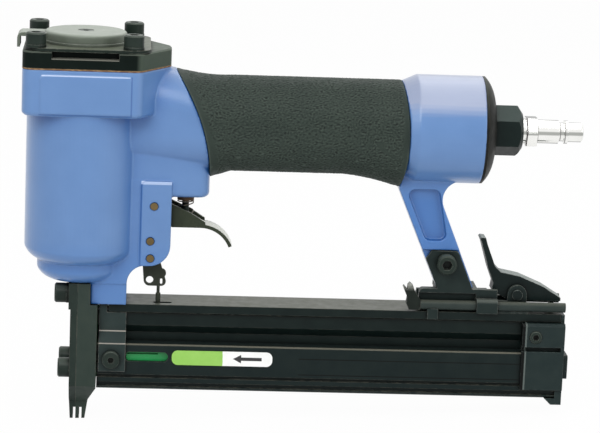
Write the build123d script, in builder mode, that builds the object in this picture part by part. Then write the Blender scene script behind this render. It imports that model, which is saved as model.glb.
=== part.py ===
"""A compact pneumatic brad nailer for 18 gauge brads up to 30 mm long.

The origin is the tip of the nose on the drive line. +Z runs up the drive line to the head, +X runs back along
the magazine and the handle to the air plug, and +Y runs across the tool. All sizes are in millimetres.
"""

import os
from math import cos, pi, sin, sqrt

from build123d import *

os.makedirs("parts", exist_ok=True)

# Clearances
RUN_FIT = 0.05  # radial, pin or stem in a piece that moves on it
SEAT_FIT = 0.1  # per side, fixed pieces that nest
SLIDE_FIT = 0.3  # per side, faces that slide past each other
SCREW_FIT = 0.1  # radial, screw in its hole

# Driver blade and nose
BLADE_THICKNESS = 1.25  # along the magazine
BLADE_WIDTH = 1.95  # across the tool
BLADE_FIT = 0.15
BLADE_TIP = 0.4  # height of the blade above the tip of the nose at rest
NOSE_PLATE_THICKNESS = 3.0
NOSE_PLATE_PAD = 0.8  # extra thickness of the plate under its upper screw
NOSE_DEPTH = 8.5  # nose body, front to back beside the magazine
NOSE_UPPER_DEPTH = 5.4  # nose body, front to back under the casting
NOSE_WIDTH = 28.0
NOSE_TIP_WIDTH = 9.0
NOSE_LIP = 1.3  # thickness of the three lips at the tip
NOSE_RELIEF = 1.1  # gap between the lips
NOSE_LIP_HEIGHT = 5.0
NOSE_HEEL = 9.0  # height of the corner behind the rear lip
NOSE_HEEL_DEPTH = 2.6  # that corner behind the rear relief
NOSE_TOE = 9.8  # height where the plate starts to thin towards its lip
NOSE_TAPER_TOP = 16.8  # the nose narrows from this height
NOSE_TAPER_BOTTOM = 7.4
NOSE_LUG_LENGTH = 10.6  # lugs behind the nose that hold the guide plates
LOWER_BOLT_RISE = 8.3  # lower nose screws above the underside of the magazine
LOWER_BOLT_SPACING = 19.0
UPPER_BOLT_DROP = 5.7  # upper nose screw below the top of the nose
UPPER_BOLT_Y = -6.4
UPPER_BOLT_REACH = 8.2  # thread in the casting
LOWER_BOLT_REACH = 6.8  # thread in the nose body

# Magazine
MAG_GROUND = 15.8  # underside of the slide above the tip of the nose
MAG_LENGTH = 199.2
MAG_START_GAP = 0.3  # nose to the front of the magazine
SLIDE_WIDTH = 24.0
SLIDE_HEIGHT = 19.9
SLIDE_WALL = 1.9
SLIDE_LIP = 1.5
SLIDE_MOUTH = 9.4
SLIDE_TRIM = 0.6  # bevel along the edges of the slide
SLIDE_GROOVE_DEPTH = 1.0
SLIDE_UPPER_GROOVE = 5.1  # lower edge of the upper groove above the underside
SLIDE_UPPER_GROOVE_WIDTH = 1.2
SLIDE_LOWER_GROOVE = 1.3  # lower edge of the lower groove above the underside
SLIDE_LOWER_GROOVE_WIDTH = 1.6
STRIP_SLOT = 2.3  # width of the slot for the brads
STRIP_RIB = 1.6
STRIP_RIB_HEIGHT = 12.4
RAIL_HEIGHT = 17.1  # top of the rail above the slide
RAIL_FLANGE_WIDTH = 20.0
RAIL_FLANGE_HEIGHT = 3.5
RAIL_FLANGE_SETBACK = 4.6  # front of the flange behind the front of the rail
RAIL_WEB_WIDTH = 16.6
RAIL_WEB_HEIGHT = 6.1
RAIL_SLANT = 3.75  # height of the slant between web and neck
RAIL_GROOVE = 0.6
RAIL_FOOT = 1.5
RAIL_ROOF = 2.6  # metal over the brads
WINDOW_START = 12.0  # front of the window behind the front of the slide
WINDOW_LENGTH = 18.6
WINDOW_HEIGHT = 4.2
WINDOW_DROP = 5.6  # middle of the window below the top of the slide
LABEL_START = 32.2
LABEL_LENGTH = 43.4
LABEL_HEIGHT = 6.4
LABEL_CORNER = 2.6
LABEL_THICKNESS = 0.25

# Guide plates beside the front of the magazine
GUIDE_LENGTH = 11.6
GUIDE_THICKNESS = 1.2
GUIDE_START = 0.9  # behind the back of the nose
GUIDE_BEND = 2.4  # upper bend below the web of the rail
GUIDE_DROP = 12.1  # bottom edge below the top of the slide
GUIDE_TAB = 3.3  # length of the tab that stands up in front of the flange
GUIDE_SCREW_X = 6.3  # behind the back of the nose
GUIDE_SCREW_DROP = 6.6

# Pusher inside the slide
PUSHER_LENGTH = 22.0
PUSHER_NOSE = 19.6  # its blade in front of its body
PUSHER_BRIDGE = 1.7
PUSHER_SLIT_LENGTH = 13.6
PUSHER_SLIT_HEIGHT = 0.8
PUSHER_SLIT_DEPTH = 1.2
PUSHER_SLIT_RISE = 1.0  # above the middle of the window
PUSHER_ROD_RADIUS = 1.2
PUSHER_ROD_RISE = 6.4  # above the underside of the slide
PUSHER_COIL_RADIUS = 2.1
PUSHER_WIRE_RADIUS = 0.3
PUSHER_TURNS = 16

# Cover on the rear end of the slide
TAIL_LENGTH = 18.6
TAIL_WALL = 1.4
TAIL_BACK = 3.0
TAIL_BACK_TOP = 1.5
TAIL_SKIRT = 3.8  # lower edge of its cheeks above the underside of the slide
TAIL_FOOT_DROP = 2.9
TAIL_FOOT_LENGTH = 4.6
TAIL_PAD_WIDTH = 10.0
TAIL_PAD_HEIGHT = 10.5
TAIL_PAD_DEPTH = 3.2
TAIL_SLOT = 2.0
TAIL_SLOT_DEPTH = 2.6
TAIL_EDGE = 1.0
TAIL_SCREW_SINK = 2.4
TAIL_SCREW_X = 5.9  # behind the front of the cover
TAIL_SCREW_DROP = 6.2  # below the underside of the flange

# Engine
NECK_RISE = 9.3  # top of the nose above the top of the rail
FLOOR_THICKNESS = 3.9
SLEEVE_RADIUS = 16.0
SLEEVE_BORE = 13.5
SLEEVE_LENGTH = 72.5
SLEEVE_SEAT = 14.0  # length of the lower seat
SLEEVE_WEB = 6.0  # thickness of the web round its upper end
SLEEVE_STAND = 8.0  # sleeve above the web
SLEEVE_PORTS = 6
SLEEVE_PORT_RADIUS = 1.0
SEAL_WIRE = 0.55
FACE_SEAL_DEPTH = 1.2
FACE_SEAL_LAP = 1.0  # reach of the face seal past both edges of the sleeve
CHAMBER_RADIUS = 20.4
BUMPER_HEIGHT = 11.4
BUMPER_BORE = 5.0
BUMPER_EDGE = 1.5
PISTON_HEIGHT = 12.0
PISTON_RING_WIRE = 0.7
PISTON_RING_RISE = 7.2
PISTON_DISH = 8.1
PISTON_DISH_DEPTH = 3.0
PISTON_PIN_RADIUS = 1.0
PISTON_PIN_RISE = 4.4
PISTON_PIN_INSET = 1.2  # ends of the pin inside the piston
TANG_WIDTH = 6.0
TANG_RISE = 8.4
BLADE_HOLE = 4.2
HEAD_BORE = 21.2
HEAD_VALVE_DISC = 5.0
HEAD_VALVE_STEM = 11.5
HEAD_VALVE_STEM_TOP = 2.4  # above the joint of the head
HEAD_VALVE_PORT = 6.0
HEAD_ROOM = 17.0  # from the top of the sleeve to the joint of the head
HEAD_COIL_RADIUS = 15.6
HEAD_WIRE_RADIUS = 0.7
HEAD_TURNS = 4

# Head and cap
HEAD_FRONT = 25.9
HEAD_WIDTH = 51.0
HEAD_SHOULDER = 3.1  # where the sides start to close in behind the rear cap screws
HEAD_REAR = 36.5
HEAD_REAR_WIDTH = 9.0
HEAD_CORNER = 5.0
HEAD_HEIGHT = 19.8
HEAD_CHAMFER = 1.3
PANEL_WIDTH = 37.8
PANEL_HEIGHT = 16.2
PANEL_DROP = 10.5  # its middle below the joint of the head
PANEL_RISE = 0.5
PANEL_CORNER = 1.6
PANEL_X = 0.8
GASKET_THICKNESS = 0.6
CAP_HEIGHT = 7.1
CAP_EDGE = 0.6
CAP_NOTCH_WIDTH = 28.0
CAP_NOTCH_HEIGHT = 2.9
CAP_NOTCH_DEPTH = 4.0
PLATE_THICKNESS = 1.3
PLATE_REAR = 27.6
PLATE_CORNER = 8.2
PLATE_PORTS = 4
PLATE_PORT_RADIUS = 2.6
PLATE_PORT_CIRCLE = 8.0
CAP_BOLT_SPACING = 40.8
CAP_BOLT_LAND = 3.4  # sheet kept around each cap screw
CAP_BOLT_REACH = 12.0  # thread in the casting
CAP_BOLT_HOLE = 16.0
WASHER_THICKNESS = 1.2
WASHER_RADIUS = 4.4
DOME_RADIUS = 17.6
DOME_HEIGHT = 4.9
DOME_FLANGE = 0.8
DOME_FLANGE_HEIGHT = 1.0
DOME_WALL = 1.6
SPOUT_REACH = 28.8
SPOUT_WIDTH = 12.4
SPOUT_DROP = 2.3  # teeth below the top of the plate
SPOUT_LIP = 1.2  # thickness of the teeth
SPOUT_BEND = 2.4  # outer radius where the roof turns down into the teeth
SPOUT_GAP = 2.6  # opening in each side behind the teeth
SPOUT_TEETH = 4
TOOTH_GAP = 1.5
DEFLECTOR_SCREW_HEAD = 3.4

# Screws: thread radius, head radius, head height and socket across flats
M5 = (2.5, 4.25, 5.0, 4.0)
M4 = (2.0, 3.8, 2.4, 2.5)
M3 = (1.5, 2.75, 3.0, 2.5)

# Barrel and handle root
BARREL_RADIUS = 24.4
BARREL_STEP = 14.3  # bottom of the barrel above the top of the nose
NECK_RADIUS = 18.8
NECK_BASE = 11.2
NECK_LOW = 4.9  # lower end of the neck's straight part above the top of the nose
NECK_HIGH = 8.9  # its upper end
BLOCK_REAR = 20.0
BLOCK_WIDTH = 24.0
ROOT_START_WIDTH = 27.4  # inside the barrel
ROOT_WAIST_X = 30.0  # where the root starts to widen towards the grip
ROOT_WAIST_WIDTH = 30.4
ROOT_WIDTH = 37.2  # at the lower end of the front edge of the grip
ROOT_ROUND = 0.7  # flat left above and below the rounded sides
ROOT_DROP = 19.0  # underside of the root below the axis of the handle
ROOT_END_RISE = 20.2  # its top above that axis at the grip
ROOT_END_DROP = 21.0

# Handle, drum and leg
HANDLE_DROP = 24.1  # axis of the handle below the joint of the head
CORE_START = 34.0
CORE_WIDTH = 29.6
CORE_HEIGHT = 35.4
CORE_CORNER = 13.8
AIR_BORE = 12.0
AIR_BORE_LAP = 2.0  # reach of the bore into the chamber
GRIP_END = 135.4
GRIP_HEIGHT = 40.6
GRIP_WIDTH = 35.6
GRIP_TOP_X = 37.4  # where the front edge of the grip meets its top
GRIP_WAIST_X = 47.6  # the same edge a little above the axis
GRIP_WAIST_RISE = 7.7
GRIP_HEEL_X = 54.0  # the same edge at the bottom
GRIP_FLARE = 4.4
GRIP_FRONT_SWELL = 9.0  # length of the front swelling behind the lower front edge
GRIP_FRONT_DROP = 10.6  # depth of the front swelling where the sleeve starts
GRIP_REAR_LENGTH = 24.0  # length of the rear swelling
GRIP_REAR_NECK = 11.0  # where the rear swelling is half grown
GRIP_REAR_HALF = 2.0  # its depth there
GRIP_ROUND = 1.0  # flat left on the sides of the grip
GRIP_REAR_FLARE = 5.0
GRIP_REAR_SWELL = 4.0  # extra width at the rear end
GRIP_REAR_BULGE = 2.7  # the rear edge bows back by this at the height of the axis
DRUM_RADIUS = 23.2
DRUM_CONE = 6.5
DRUM_END = 170.2
DRUM_BORE = 18.9
DRUM_BORE_DEPTH = 13.0
LEG_WIDTH = 17.0
LEG_TOP_DROP = 25.3  # upper front corner of the leg below the axis of the handle
LEG_FOOT_X = -16.1  # front of the leg's foot from the end of the drum
LEG_FOOT_DEPTH = 16.0
LEG_REAR_X = -19.0  # rear of the leg under the drum, from the end of the drum
LEG_FILLET = 8.4
LEG_STEP = 17.2  # height of the thinner foot of the leg
LEG_POCKET_DEPTH = 2.4
LEG_POCKET_RIM = 4.0  # below and behind the pocket
LEG_POCKET_FRONT = 3.0
LEG_POCKET_CORNER = 2.8
LEG_POCKET_SPREAD = 1.0  # the pocket's upper rear corner behind the line of the leg

# Rear end cap and air inlet
END_CAP_DEPTH = 5.4
END_CAP_RIM = 1.0
END_CAP_FACE = 12.3
END_CAP_SPIGOT = 11.0
END_SEAL_WIRE = 0.9
INLET_BORE = 4.0
HEX_ACROSS = 19.0
HEX_LENGTH = 12.4
HEX_CHAMFER = 2.2
HEX_THREAD = 8.0
HEX_THREAD_LENGTH = 9.0
PLUG_THREAD = 5.3
PLUG_THREAD_LENGTH = 7.8
PLUG_EDGE = 0.6
PLUG_NECK = 1.6
PLUG_COLLAR_ACROSS = 12.0
PLUG_COLLAR = 4.9
PLUG_BODY_RADIUS = 5.1
PLUG_BODY = 9.4
PLUG_WAIST_RADIUS = 4.0
PLUG_WAIST = 2.4
PLUG_RING_RADIUS = 5.0
PLUG_RING = 1.6
PLUG_TIP_RADIUS = 4.2
PLUG_TIP = 6.6
PLUG_BORE = 2.4
FILTER_THICKNESS = 1.2
FILTER_RADIUS = 10.5
FILTER_HOLES = 6
FILTER_HOLE_RADIUS = 1.8

# Trigger group under the handle root
EAR_WIDTH = 27.0
EAR_PAD = 0.9  # the ears stand out from the web in front of them by this
EAR_PAD_CORNER = 2.0
EAR_REAR = 38.2
EAR_TOP_DROP = 24.2  # below the axis of the handle
EAR_BOTTOM_DROP = 61.0
EAR_SLOT = 12.6
EAR_SLOT_WALL = 0.9  # metal between the slot and the barrel
EAR_CORNER = 9.0
EAR_FILLET = 8.1
PIN_RADIUS = 1.6
TRIGGER_PIN_X = 30.8
TRIGGER_PIN_DROP = 34.9
STOP_PIN_X = 29.5
STOP_PIN_DROP = 50.1
LOCK_PIN_X = 29.7
LOCK_PIN_DROP = 57.6
TRIGGER_WIDTH = 11.4
TRIGGER_SHEET = 1.5
TRIGGER_CHEEK = ((-3.8, 3.0), (3.2, 2.8), (7.7, -0.3), (15.7, -3.9), (22.2, -7.9))  # top edge from the pin
TRIGGER_CHEEK_LOW = ((8.0, -10.4), (-0.8, -6.5), (-3.8, -3.5))  # lower front edge from the pin
TRIGGER_FLOOR_DROP = 45.3  # underside of the trigger below the axis of the handle
TRIGGER_BEND_X = 51.0
TRIGGER_BEND_RADIUS = 14.0
TRIGGER_BEND_ANGLE = 68.0
VALVE_X = 44.4
VALVE_BOSS_RADIUS = 9.8  # from the valve's axis to the rear of its boss
VALVE_BOSS_WIDTH = 24.8
VALVE_BOSS_CORNER = 5.0
VALVE_BOSS_EDGE = 2.2
VALVE_BOSS_DROP = 31.1
VALVE_BORE = 6.5
VALVE_BORE_DEPTH = 15.6
VALVE_BUSH_LENGTH = 11.8
VALVE_SEAL_RISE = 8.3
VALVE_BUSH_NOSE = 3.6
VALVE_BUSH_NOSE_LENGTH = 2.9
VALVE_CAVITY = 4.1
VALVE_CAVITY_FLOOR = 3.0
STEM_RADIUS = 1.5
STEM_TIP = 0.5
STEM_HEAD = 3.2
STEM_HEAD_RADIUS = 3.8
VALVE_COIL_RADIUS = 2.7
VALVE_WIRE_RADIUS = 0.3
VALVE_TURNS = 4
TRIGGER_COIL_RADIUS = 3.3
TRIGGER_WIRE_RADIUS = 0.35
TRIGGER_TURNS = 4
LOCK_SHEET = 1.4
LOCK_Y = -5.3
LOCK_EYE = 3.4  # radius of the lever round its pin
LOCK_LENGTH = 11.0  # lower hole below the pin
LOCK_HOLE_X = 0.1  # lower hole behind the pin
LOCK_FOOT_RADIUS = 2.6
LOCK_HOLE_RADIUS = 1.6
LOCK_TOE_X = 5.1  # toe of the lever behind the pin
LOCK_TOE_RADIUS = 2.0
LOCK_TOE_SLOT = 2.6
LOCK_NUB_HEIGHT = 3.0
FEELER_X = 3.9  # behind the pin
FEELER_RADIUS = 0.7
FEELER_FOOT_RADIUS = 1.05
FEELER_FOOT_RISE = 4.2
FEELER_DEPTH = 6.0  # below the top of the rail
FEELER_SLOT_LENGTH = 8.0

# Bracket between leg and magazine, side rods and latch; their places are from the front of the leg's foot
BRACKET_SHEET = 1.8
BRACKET_TOP = 9.8  # top of its base above the rail
BRACKET_START = -7.6
BRACKET_BASE_END = 21.9
BRACKET_EAR = 4.2  # radius of the ears round the latch pin
BRACKET_SILL = 2.8  # low part of the channel below the latch pin
BRACKET_STRIP = 0.9  # thickness of the strip that lies on the rail
BRACKET_STRIP_END = 39.9
BRACKET_LIP_BEND = 1.5  # rounded front end of the lip on the near side
BRACKET_FAR_DROP = 3.0  # far wall of the channel below the top of the base
BRACKET_PAD = 1.0  # base in front of and behind the leg
BRACKET_CHANNEL = 12.6  # outer width of the channel under the base
BRACKET_CHEEK = 16.8
BRACKET_CORNER = 4.0  # bevel of the cheek's upper front corner
BRACKET_ROUND = 2.6  # its upper rear corner
BRACKET_INSET = 0.6  # rear edge of the cheek in front of the rear of the leg
BRACKET_SCREW_X = 3.3
BRACKET_SCREW_RISE = 11.4
NUT_ACROSS = 8.0
NUT_HEIGHT = 4.0
CLIP_START = 17.1
CLIP_LENGTH = 9.2
CLIP_WALL = 0.8
FRONT_CLIP_START = -4.1
FRONT_CLIP_LENGTH = 4.6
FRONT_CLIP_TAB = 1.2
FRONT_CLIP_DROP = 3.2  # tab below the top of the rail
FRONT_CLIP_HEIGHT = 1.6  # cradle under the rod
ROD_RADIUS = 2.1
ROD_SPACING = 18.8
ROD_RISE = 2.9  # axis above the rail
ROD_START = -7.3
ROD_END = 56.1
HOOK_WIDTH = 3.2
HOOK_BACK = ((-2.6, 6.2), (-3.5, 8.6), (-4.8, 9.8))  # rear edge up to the tip, from the end of the rod
HOOK_FORK = ((-5.7, 8.8), (-5.9, 6.8), (-7.3, 8.4), (-7.8, 8.0))  # notch and front prong
HOOK_FRONT = ((-5.8, 3.4), (-6.2, 0.6), (-4.9, -2.1))  # front edge down to the foot
LATCH_WIDTH = 8.4
LATCH_SHEET = 1.4
LATCH_PIN_X = 35.3
LATCH_PIN_RISE = 7.4
LATCH_PIN_RADIUS = 1.8
LATCH_PIN_HEAD = 2.3
LATCH_PIN_HEAD_HEIGHT = 1.0
LATCH_SILL = 2.8  # lower edge of the lever below its pin
LATCH_TAIL = 19.4  # end of the lever behind its pin
LATCH_TOE = -3.5  # front end of its lower edge from the pin
LATCH_FRONT = ((-11.0, 1.4), (-10.5, 4.6), (-12.9, 10.8), (-16.3, 22.2))  # front of the lever from its pin
LATCH_THUMB = ((-17.1, 24.0), (-16.5, 24.6), (-14.6, 24.4), (-13.7, 21.4), (-10.0, 12.0))  # thumb piece
LATCH_BACK = ((-7.4, 9.5), (1.1, 7.8), (11.4, 3.5))  # top of the lever from its pin
LATCH_TONGUE = 1.8
LATCH_TONGUE_WIDTH = 4.4
LATCH_TONGUE_DEPTH = 1.2  # tongue below the top of the rail
LATCH_TONGUE_X = 15.0  # behind the pin
LATCH_COIL_RADIUS = 2.6
LATCH_WIRE_RADIUS = 0.35
LATCH_TURNS = 3
LATCH_SPRING_LENGTH = 4.6

# Heights that follow
slide_bottom = MAG_GROUND
slide_top = slide_bottom + SLIDE_HEIGHT
rail_top = slide_top + RAIL_HEIGHT
nose_top = rail_top + NECK_RISE
sleeve_bottom = nose_top + FLOOR_THICKNESS
sleeve_top = sleeve_bottom + SLEEVE_LENGTH
head_joint = sleeve_top + HEAD_ROOM
head_bottom = head_joint - HEAD_HEIGHT
cap_bottom = head_joint + GASKET_THICKNESS
cap_top = cap_bottom + CAP_HEIGHT
plate_top = cap_top + PLATE_THICKNESS
handle_z = head_joint - HANDLE_DROP
bracket_top = rail_top + BRACKET_TOP

# Lengths that follow
leg_foot_x = DRUM_END + LEG_FOOT_X
leg_rear_x = DRUM_END + LEG_REAR_X
bracket_start = leg_foot_x + BRACKET_START
bracket_base_end = leg_foot_x + BRACKET_BASE_END
bracket_strip_end = leg_foot_x + BRACKET_STRIP_END
bracket_screw_x = leg_foot_x + BRACKET_SCREW_X
clip_start = leg_foot_x + CLIP_START
front_clip_start = leg_foot_x + FRONT_CLIP_START
rod_start = leg_foot_x + ROD_START
rod_end = leg_foot_x + ROD_END
latch_pin_x = leg_foot_x + LATCH_PIN_X
channel_x = BLADE_THICKNESS / 2 + BLADE_FIT
nose_joint_x = -channel_x
nose_front_x = nose_joint_x - NOSE_PLATE_THICKNESS
nose_back_x = nose_joint_x + NOSE_DEPTH
nose_upper_x = nose_joint_x + NOSE_UPPER_DEPTH
mag_start = nose_back_x + MAG_START_GAP
mag_end = mag_start + MAG_LENGTH
tail_end = mag_end + TAIL_BACK
tail_start = tail_end - TAIL_LENGTH

FROM_BELOW = (Align.CENTER, Align.CENTER, Align.MIN)
FROM_ABOVE = (Align.CENTER, Align.CENTER, Align.MAX)


def save(builder, name):
    """Labels a finished piece and writes it."""
    builder.part.label = name
    export_step(builder.part, f"parts/{name}.step")


def mirrored(points):
    """A closed outline from its right half, listed from top to bottom."""
    return points + [(-y, z) for y, z in reversed(points)]


def across(x, z):
    """A place on the middle plane whose Z axis points across the tool, to the far side."""
    return Plane(origin=(x, 0, z), x_dir=(1, 0, 0), z_dir=(0, 1, 0)).location


def along(x, z, y=0):
    """A place whose Z axis points back along the tool."""
    return Plane(origin=(x, y, z), x_dir=(0, 1, 0), z_dir=(1, 0, 0)).location


def socket_screw(size, length):
    """A socket head screw along -Z, with the underside of its head at the origin."""
    thread, head, height, across_flats = size
    with BuildPart() as screw:
        Cylinder(head, height, align=FROM_BELOW)
        chamfer(screw.edges().group_by(Axis.Z)[-1], height * 0.12)
        Cylinder(thread, length, align=FROM_ABOVE)
        with BuildSketch(Plane.XY.offset(height)) as socket:
            RegularPolygon(across_flats / 2, 6, major_radius=False)
        extrude(socket.sketch, amount=-height * 0.55, mode=Mode.SUBTRACT)
    return screw.part


def washer(radius, hole, thickness):
    """A plain washer that stands on the origin."""
    with BuildPart() as ring:
        Cylinder(radius, thickness, align=FROM_BELOW)
        Cylinder(hole, thickness, align=FROM_BELOW, mode=Mode.SUBTRACT)
    return ring.part


def seal(major, wire):
    """A round seal about Z."""
    with BuildPart() as ring:
        Torus(major, wire)
    return ring.part


def coil(name, radius, wire, length, turns):
    """An open coil spring up +Z from the origin, swept along two arcs for each quarter turn."""
    rise = length - 2 * wire
    steps = 4 * turns

    def place(step):
        angle = pi / 2 * step
        spot = Vector(radius * cos(angle), radius * sin(angle), wire + rise * step / steps)
        heading = Vector(-radius * sin(angle), radius * cos(angle), rise / turns / (2 * pi))
        return spot, heading.normalized()

    with BuildPart() as spring:
        with BuildLine() as path:
            for step in range(steps):
                start, leave = place(step)
                stop, arrive = place(step + 1)
                chord = stop - start
                reach = leave + arrive
                bend = 2 * (1 - leave.dot(arrive))
                slant = chord.dot(reach)
                arm = (sqrt(slant**2 + bend * chord.dot(chord)) - slant) / bend
                first, second = start + leave * arm, stop - arrive * arm
                middle = (first + second) * 0.5
                TangentArc(start, middle, tangent=leave)
                TangentArc(middle, stop, tangent=second - first)
        start, leave = place(0)
        with BuildSketch(Plane(origin=start, z_dir=leave)) as section:
            Circle(wire)
        sweep(section.sketch, path=path.wire())
    marks = 24 * turns
    spots = [path.wire().position_at(i / marks) for i in range(marks + 1)]
    gaps = [(a - b).length for i, a in enumerate(spots) for b in spots[i + 12 :]]
    print(f"{name}: {turns} turns, least gap to itself {min(gaps) - 2 * wire:.2f} mm")
    return spring.part


def head_plan():
    """The five-sided plan of the head, which the casting, its gasket and the cap share."""
    side = HEAD_WIDTH / 2
    tip = HEAD_REAR_WIDTH / 2
    shoulder = CAP_BOLT_SPACING / 2 + HEAD_SHOULDER
    right = [(-HEAD_FRONT, side), (shoulder, side), (HEAD_REAR, tip)]
    left = [(x, -y) for x, y in reversed(right)]
    with BuildSketch() as plan:
        Polygon(*right, *left, align=None)
        fillet(plan.vertices(), min(HEAD_CORNER, HEAD_FRONT - CAP_BOLT_SPACING / 2))
    return plan.sketch


def handle_core(extra):
    """The core of the handle under the rubber, grown by extra on every side."""
    with BuildPart() as core:
        with BuildSketch(Plane.YZ.offset(CORE_START)):
            with Locations((0, handle_z)):
                RectangleRounded(CORE_WIDTH + 2 * extra, CORE_HEIGHT + 2 * extra, CORE_CORNER + extra)
        extrude(amount=GRIP_END + DRUM_CONE - CORE_START)
    return core.part


def before_grip(gap):
    """Everything in front of the curved front edge of the grip, moved forward by gap."""
    top_x, heel_x = GRIP_TOP_X - gap, GRIP_HEEL_X - gap
    upper = (top_x, handle_z + GRIP_HEIGHT / 2 + GRIP_FLARE)
    middle = (GRIP_WAIST_X - gap, handle_z + GRIP_WAIST_RISE)
    lower = (heel_x, handle_z - GRIP_HEIGHT / 2 - GRIP_FLARE)
    with BuildPart() as front:
        with BuildSketch(Plane.XZ) as side:
            with BuildLine():
                ThreePointArc(upper, middle, lower)
                Polyline(
                    lower,
                    (heel_x, handle_z - GRIP_HEIGHT),
                    (0, handle_z - GRIP_HEIGHT),
                    (0, handle_z + GRIP_HEIGHT),
                    (top_x, handle_z + GRIP_HEIGHT),
                    upper,
                )
            make_face()
        extrude(side.sketch, amount=GRIP_WIDTH, both=True)
    return front.part


def handle_root():
    """The root of the handle, which widens from the barrel to the front edge of the grip."""
    root_top = head_joint - handle_z - SLIDE_FIT
    sections = [
        (BARREL_RADIUS / 2, ROOT_START_WIDTH, root_top, ROOT_DROP),
        (ROOT_WAIST_X, ROOT_WAIST_WIDTH, root_top, ROOT_DROP),
        (GRIP_HEEL_X, ROOT_WIDTH, ROOT_END_RISE, ROOT_END_DROP),
    ]
    faces = []
    for x, width, up, down in sections:
        with BuildSketch(Plane.YZ.offset(x)) as section:
            with Locations((0, handle_z + (up - down) / 2)):
                RectangleRounded(width, up + down, width / 2 - ROOT_ROUND)
        faces.append(section.sketch)
    with BuildPart() as root:
        loft(faces)
        add(before_grip(SEAT_FIT), mode=Mode.INTERSECT)
    return root.part


def valve_boss(extra):
    """The boss of the trigger valve under the root, grown by extra on every side."""
    rear = VALVE_X + VALVE_BOSS_RADIUS + extra
    half = VALVE_BOSS_WIDTH / 2 + extra
    with BuildPart() as boss:
        with BuildSketch(Plane.XY.offset(handle_z - ROOT_DROP / 2)) as outline:
            Polygon((BLOCK_REAR, -half), (rear, -half), (rear, half), (BLOCK_REAR, half), align=None)
            fillet(outline.vertices().group_by(Axis.X)[-1], VALVE_BOSS_CORNER)
        extrude(amount=ROOT_DROP / 2 - VALVE_BOSS_DROP - extra)
        fillet(boss.edges().group_by(Axis.Z)[0], VALVE_BOSS_EDGE)
    return boss.part


plan = head_plan()
handle_axis = Axis((0, 0, handle_z), (1, 0, 0))
drum_start = GRIP_END + SEAT_FIT
leg_top = handle_z - LEG_TOP_DROP
drum_bottom = handle_z - DRUM_RADIUS
ear_top = handle_z - EAR_TOP_DROP
ear_bottom = handle_z - EAR_BOTTOM_DROP
boss_bottom = handle_z - VALVE_BOSS_DROP
slot_front = BARREL_RADIUS + EAR_SLOT_WALL
pin_places = {
    "trigger_pin": (TRIGGER_PIN_X, handle_z - TRIGGER_PIN_DROP),
    "stop_pin": (STOP_PIN_X, handle_z - STOP_PIN_DROP),
    "lockout_pin": (LOCK_PIN_X, handle_z - LOCK_PIN_DROP),
}


def leg_front(z):
    """Front edge of the leg at height z."""
    return drum_start + (leg_foot_x - drum_start) * (leg_top - z) / (leg_top - bracket_top)


def leg_rear(z):
    """Rear edge of the leg at height z."""
    foot = leg_foot_x + LEG_FOOT_DEPTH
    return leg_rear_x + (foot - leg_rear_x) * (drum_bottom - z) / (drum_bottom - bracket_top)


def before_drum(gap):
    """Everything in front of the bowed rear edge of the grip, moved back by gap."""
    edge = GRIP_END + gap
    upper = (edge, handle_z + GRIP_HEIGHT / 2)
    lower = (edge, handle_z - GRIP_HEIGHT / 2 - GRIP_REAR_FLARE)
    with BuildPart() as front:
        with BuildSketch(Plane.XZ) as side:
            with BuildLine():
                ThreePointArc(upper, (edge + GRIP_REAR_BULGE, handle_z), lower)
                Polyline(
                    lower,
                    (edge, handle_z - 2 * DRUM_RADIUS),
                    (0, handle_z - 2 * DRUM_RADIUS),
                    (0, handle_z + 2 * DRUM_RADIUS),
                    (edge, handle_z + 2 * DRUM_RADIUS),
                    upper,
                )
            make_face()
        extrude(side.sketch, amount=2 * DRUM_RADIUS, both=True)
    return front.part


def drum_and_leg():
    """The rear drum with its front cone, and the slanting leg under it."""
    leg_roof = handle_z - sqrt(DRUM_RADIUS**2 - (LEG_WIDTH / 2) ** 2) + SLIDE_FIT
    leg_rear_top = (leg_rear(leg_roof), leg_roof)
    with BuildPart() as rear:
        with BuildSketch(Plane.XZ) as drum_side:
            Polygon(
                (GRIP_END, handle_z),
                (GRIP_END, handle_z + GRIP_HEIGHT / 2),
                (GRIP_END + DRUM_CONE, handle_z + DRUM_RADIUS),
                (DRUM_END, handle_z + DRUM_RADIUS),
                (DRUM_END, handle_z),
                align=None,
            )
        revolve(drum_side.sketch, axis=handle_axis)
        with BuildSketch(Plane.XZ) as leg_side:
            Polygon(
                (drum_start, leg_top),
                (leg_foot_x, bracket_top),
                (leg_foot_x + LEG_FOOT_DEPTH, bracket_top),
                leg_rear_top,
                (leg_rear_top[0] + 2 * LEG_FILLET, leg_roof),
                (leg_rear_top[0] + 2 * LEG_FILLET, handle_z),
                (drum_start, handle_z),
                align=None,
            )
            fillet(leg_side.vertices().sort_by_distance(leg_rear_top)[0], LEG_FILLET)
        extrude(leg_side.sketch, amount=LEG_WIDTH / 2, both=True)
        add(before_drum(SEAT_FIT), mode=Mode.SUBTRACT)
    return rear.part


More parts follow.
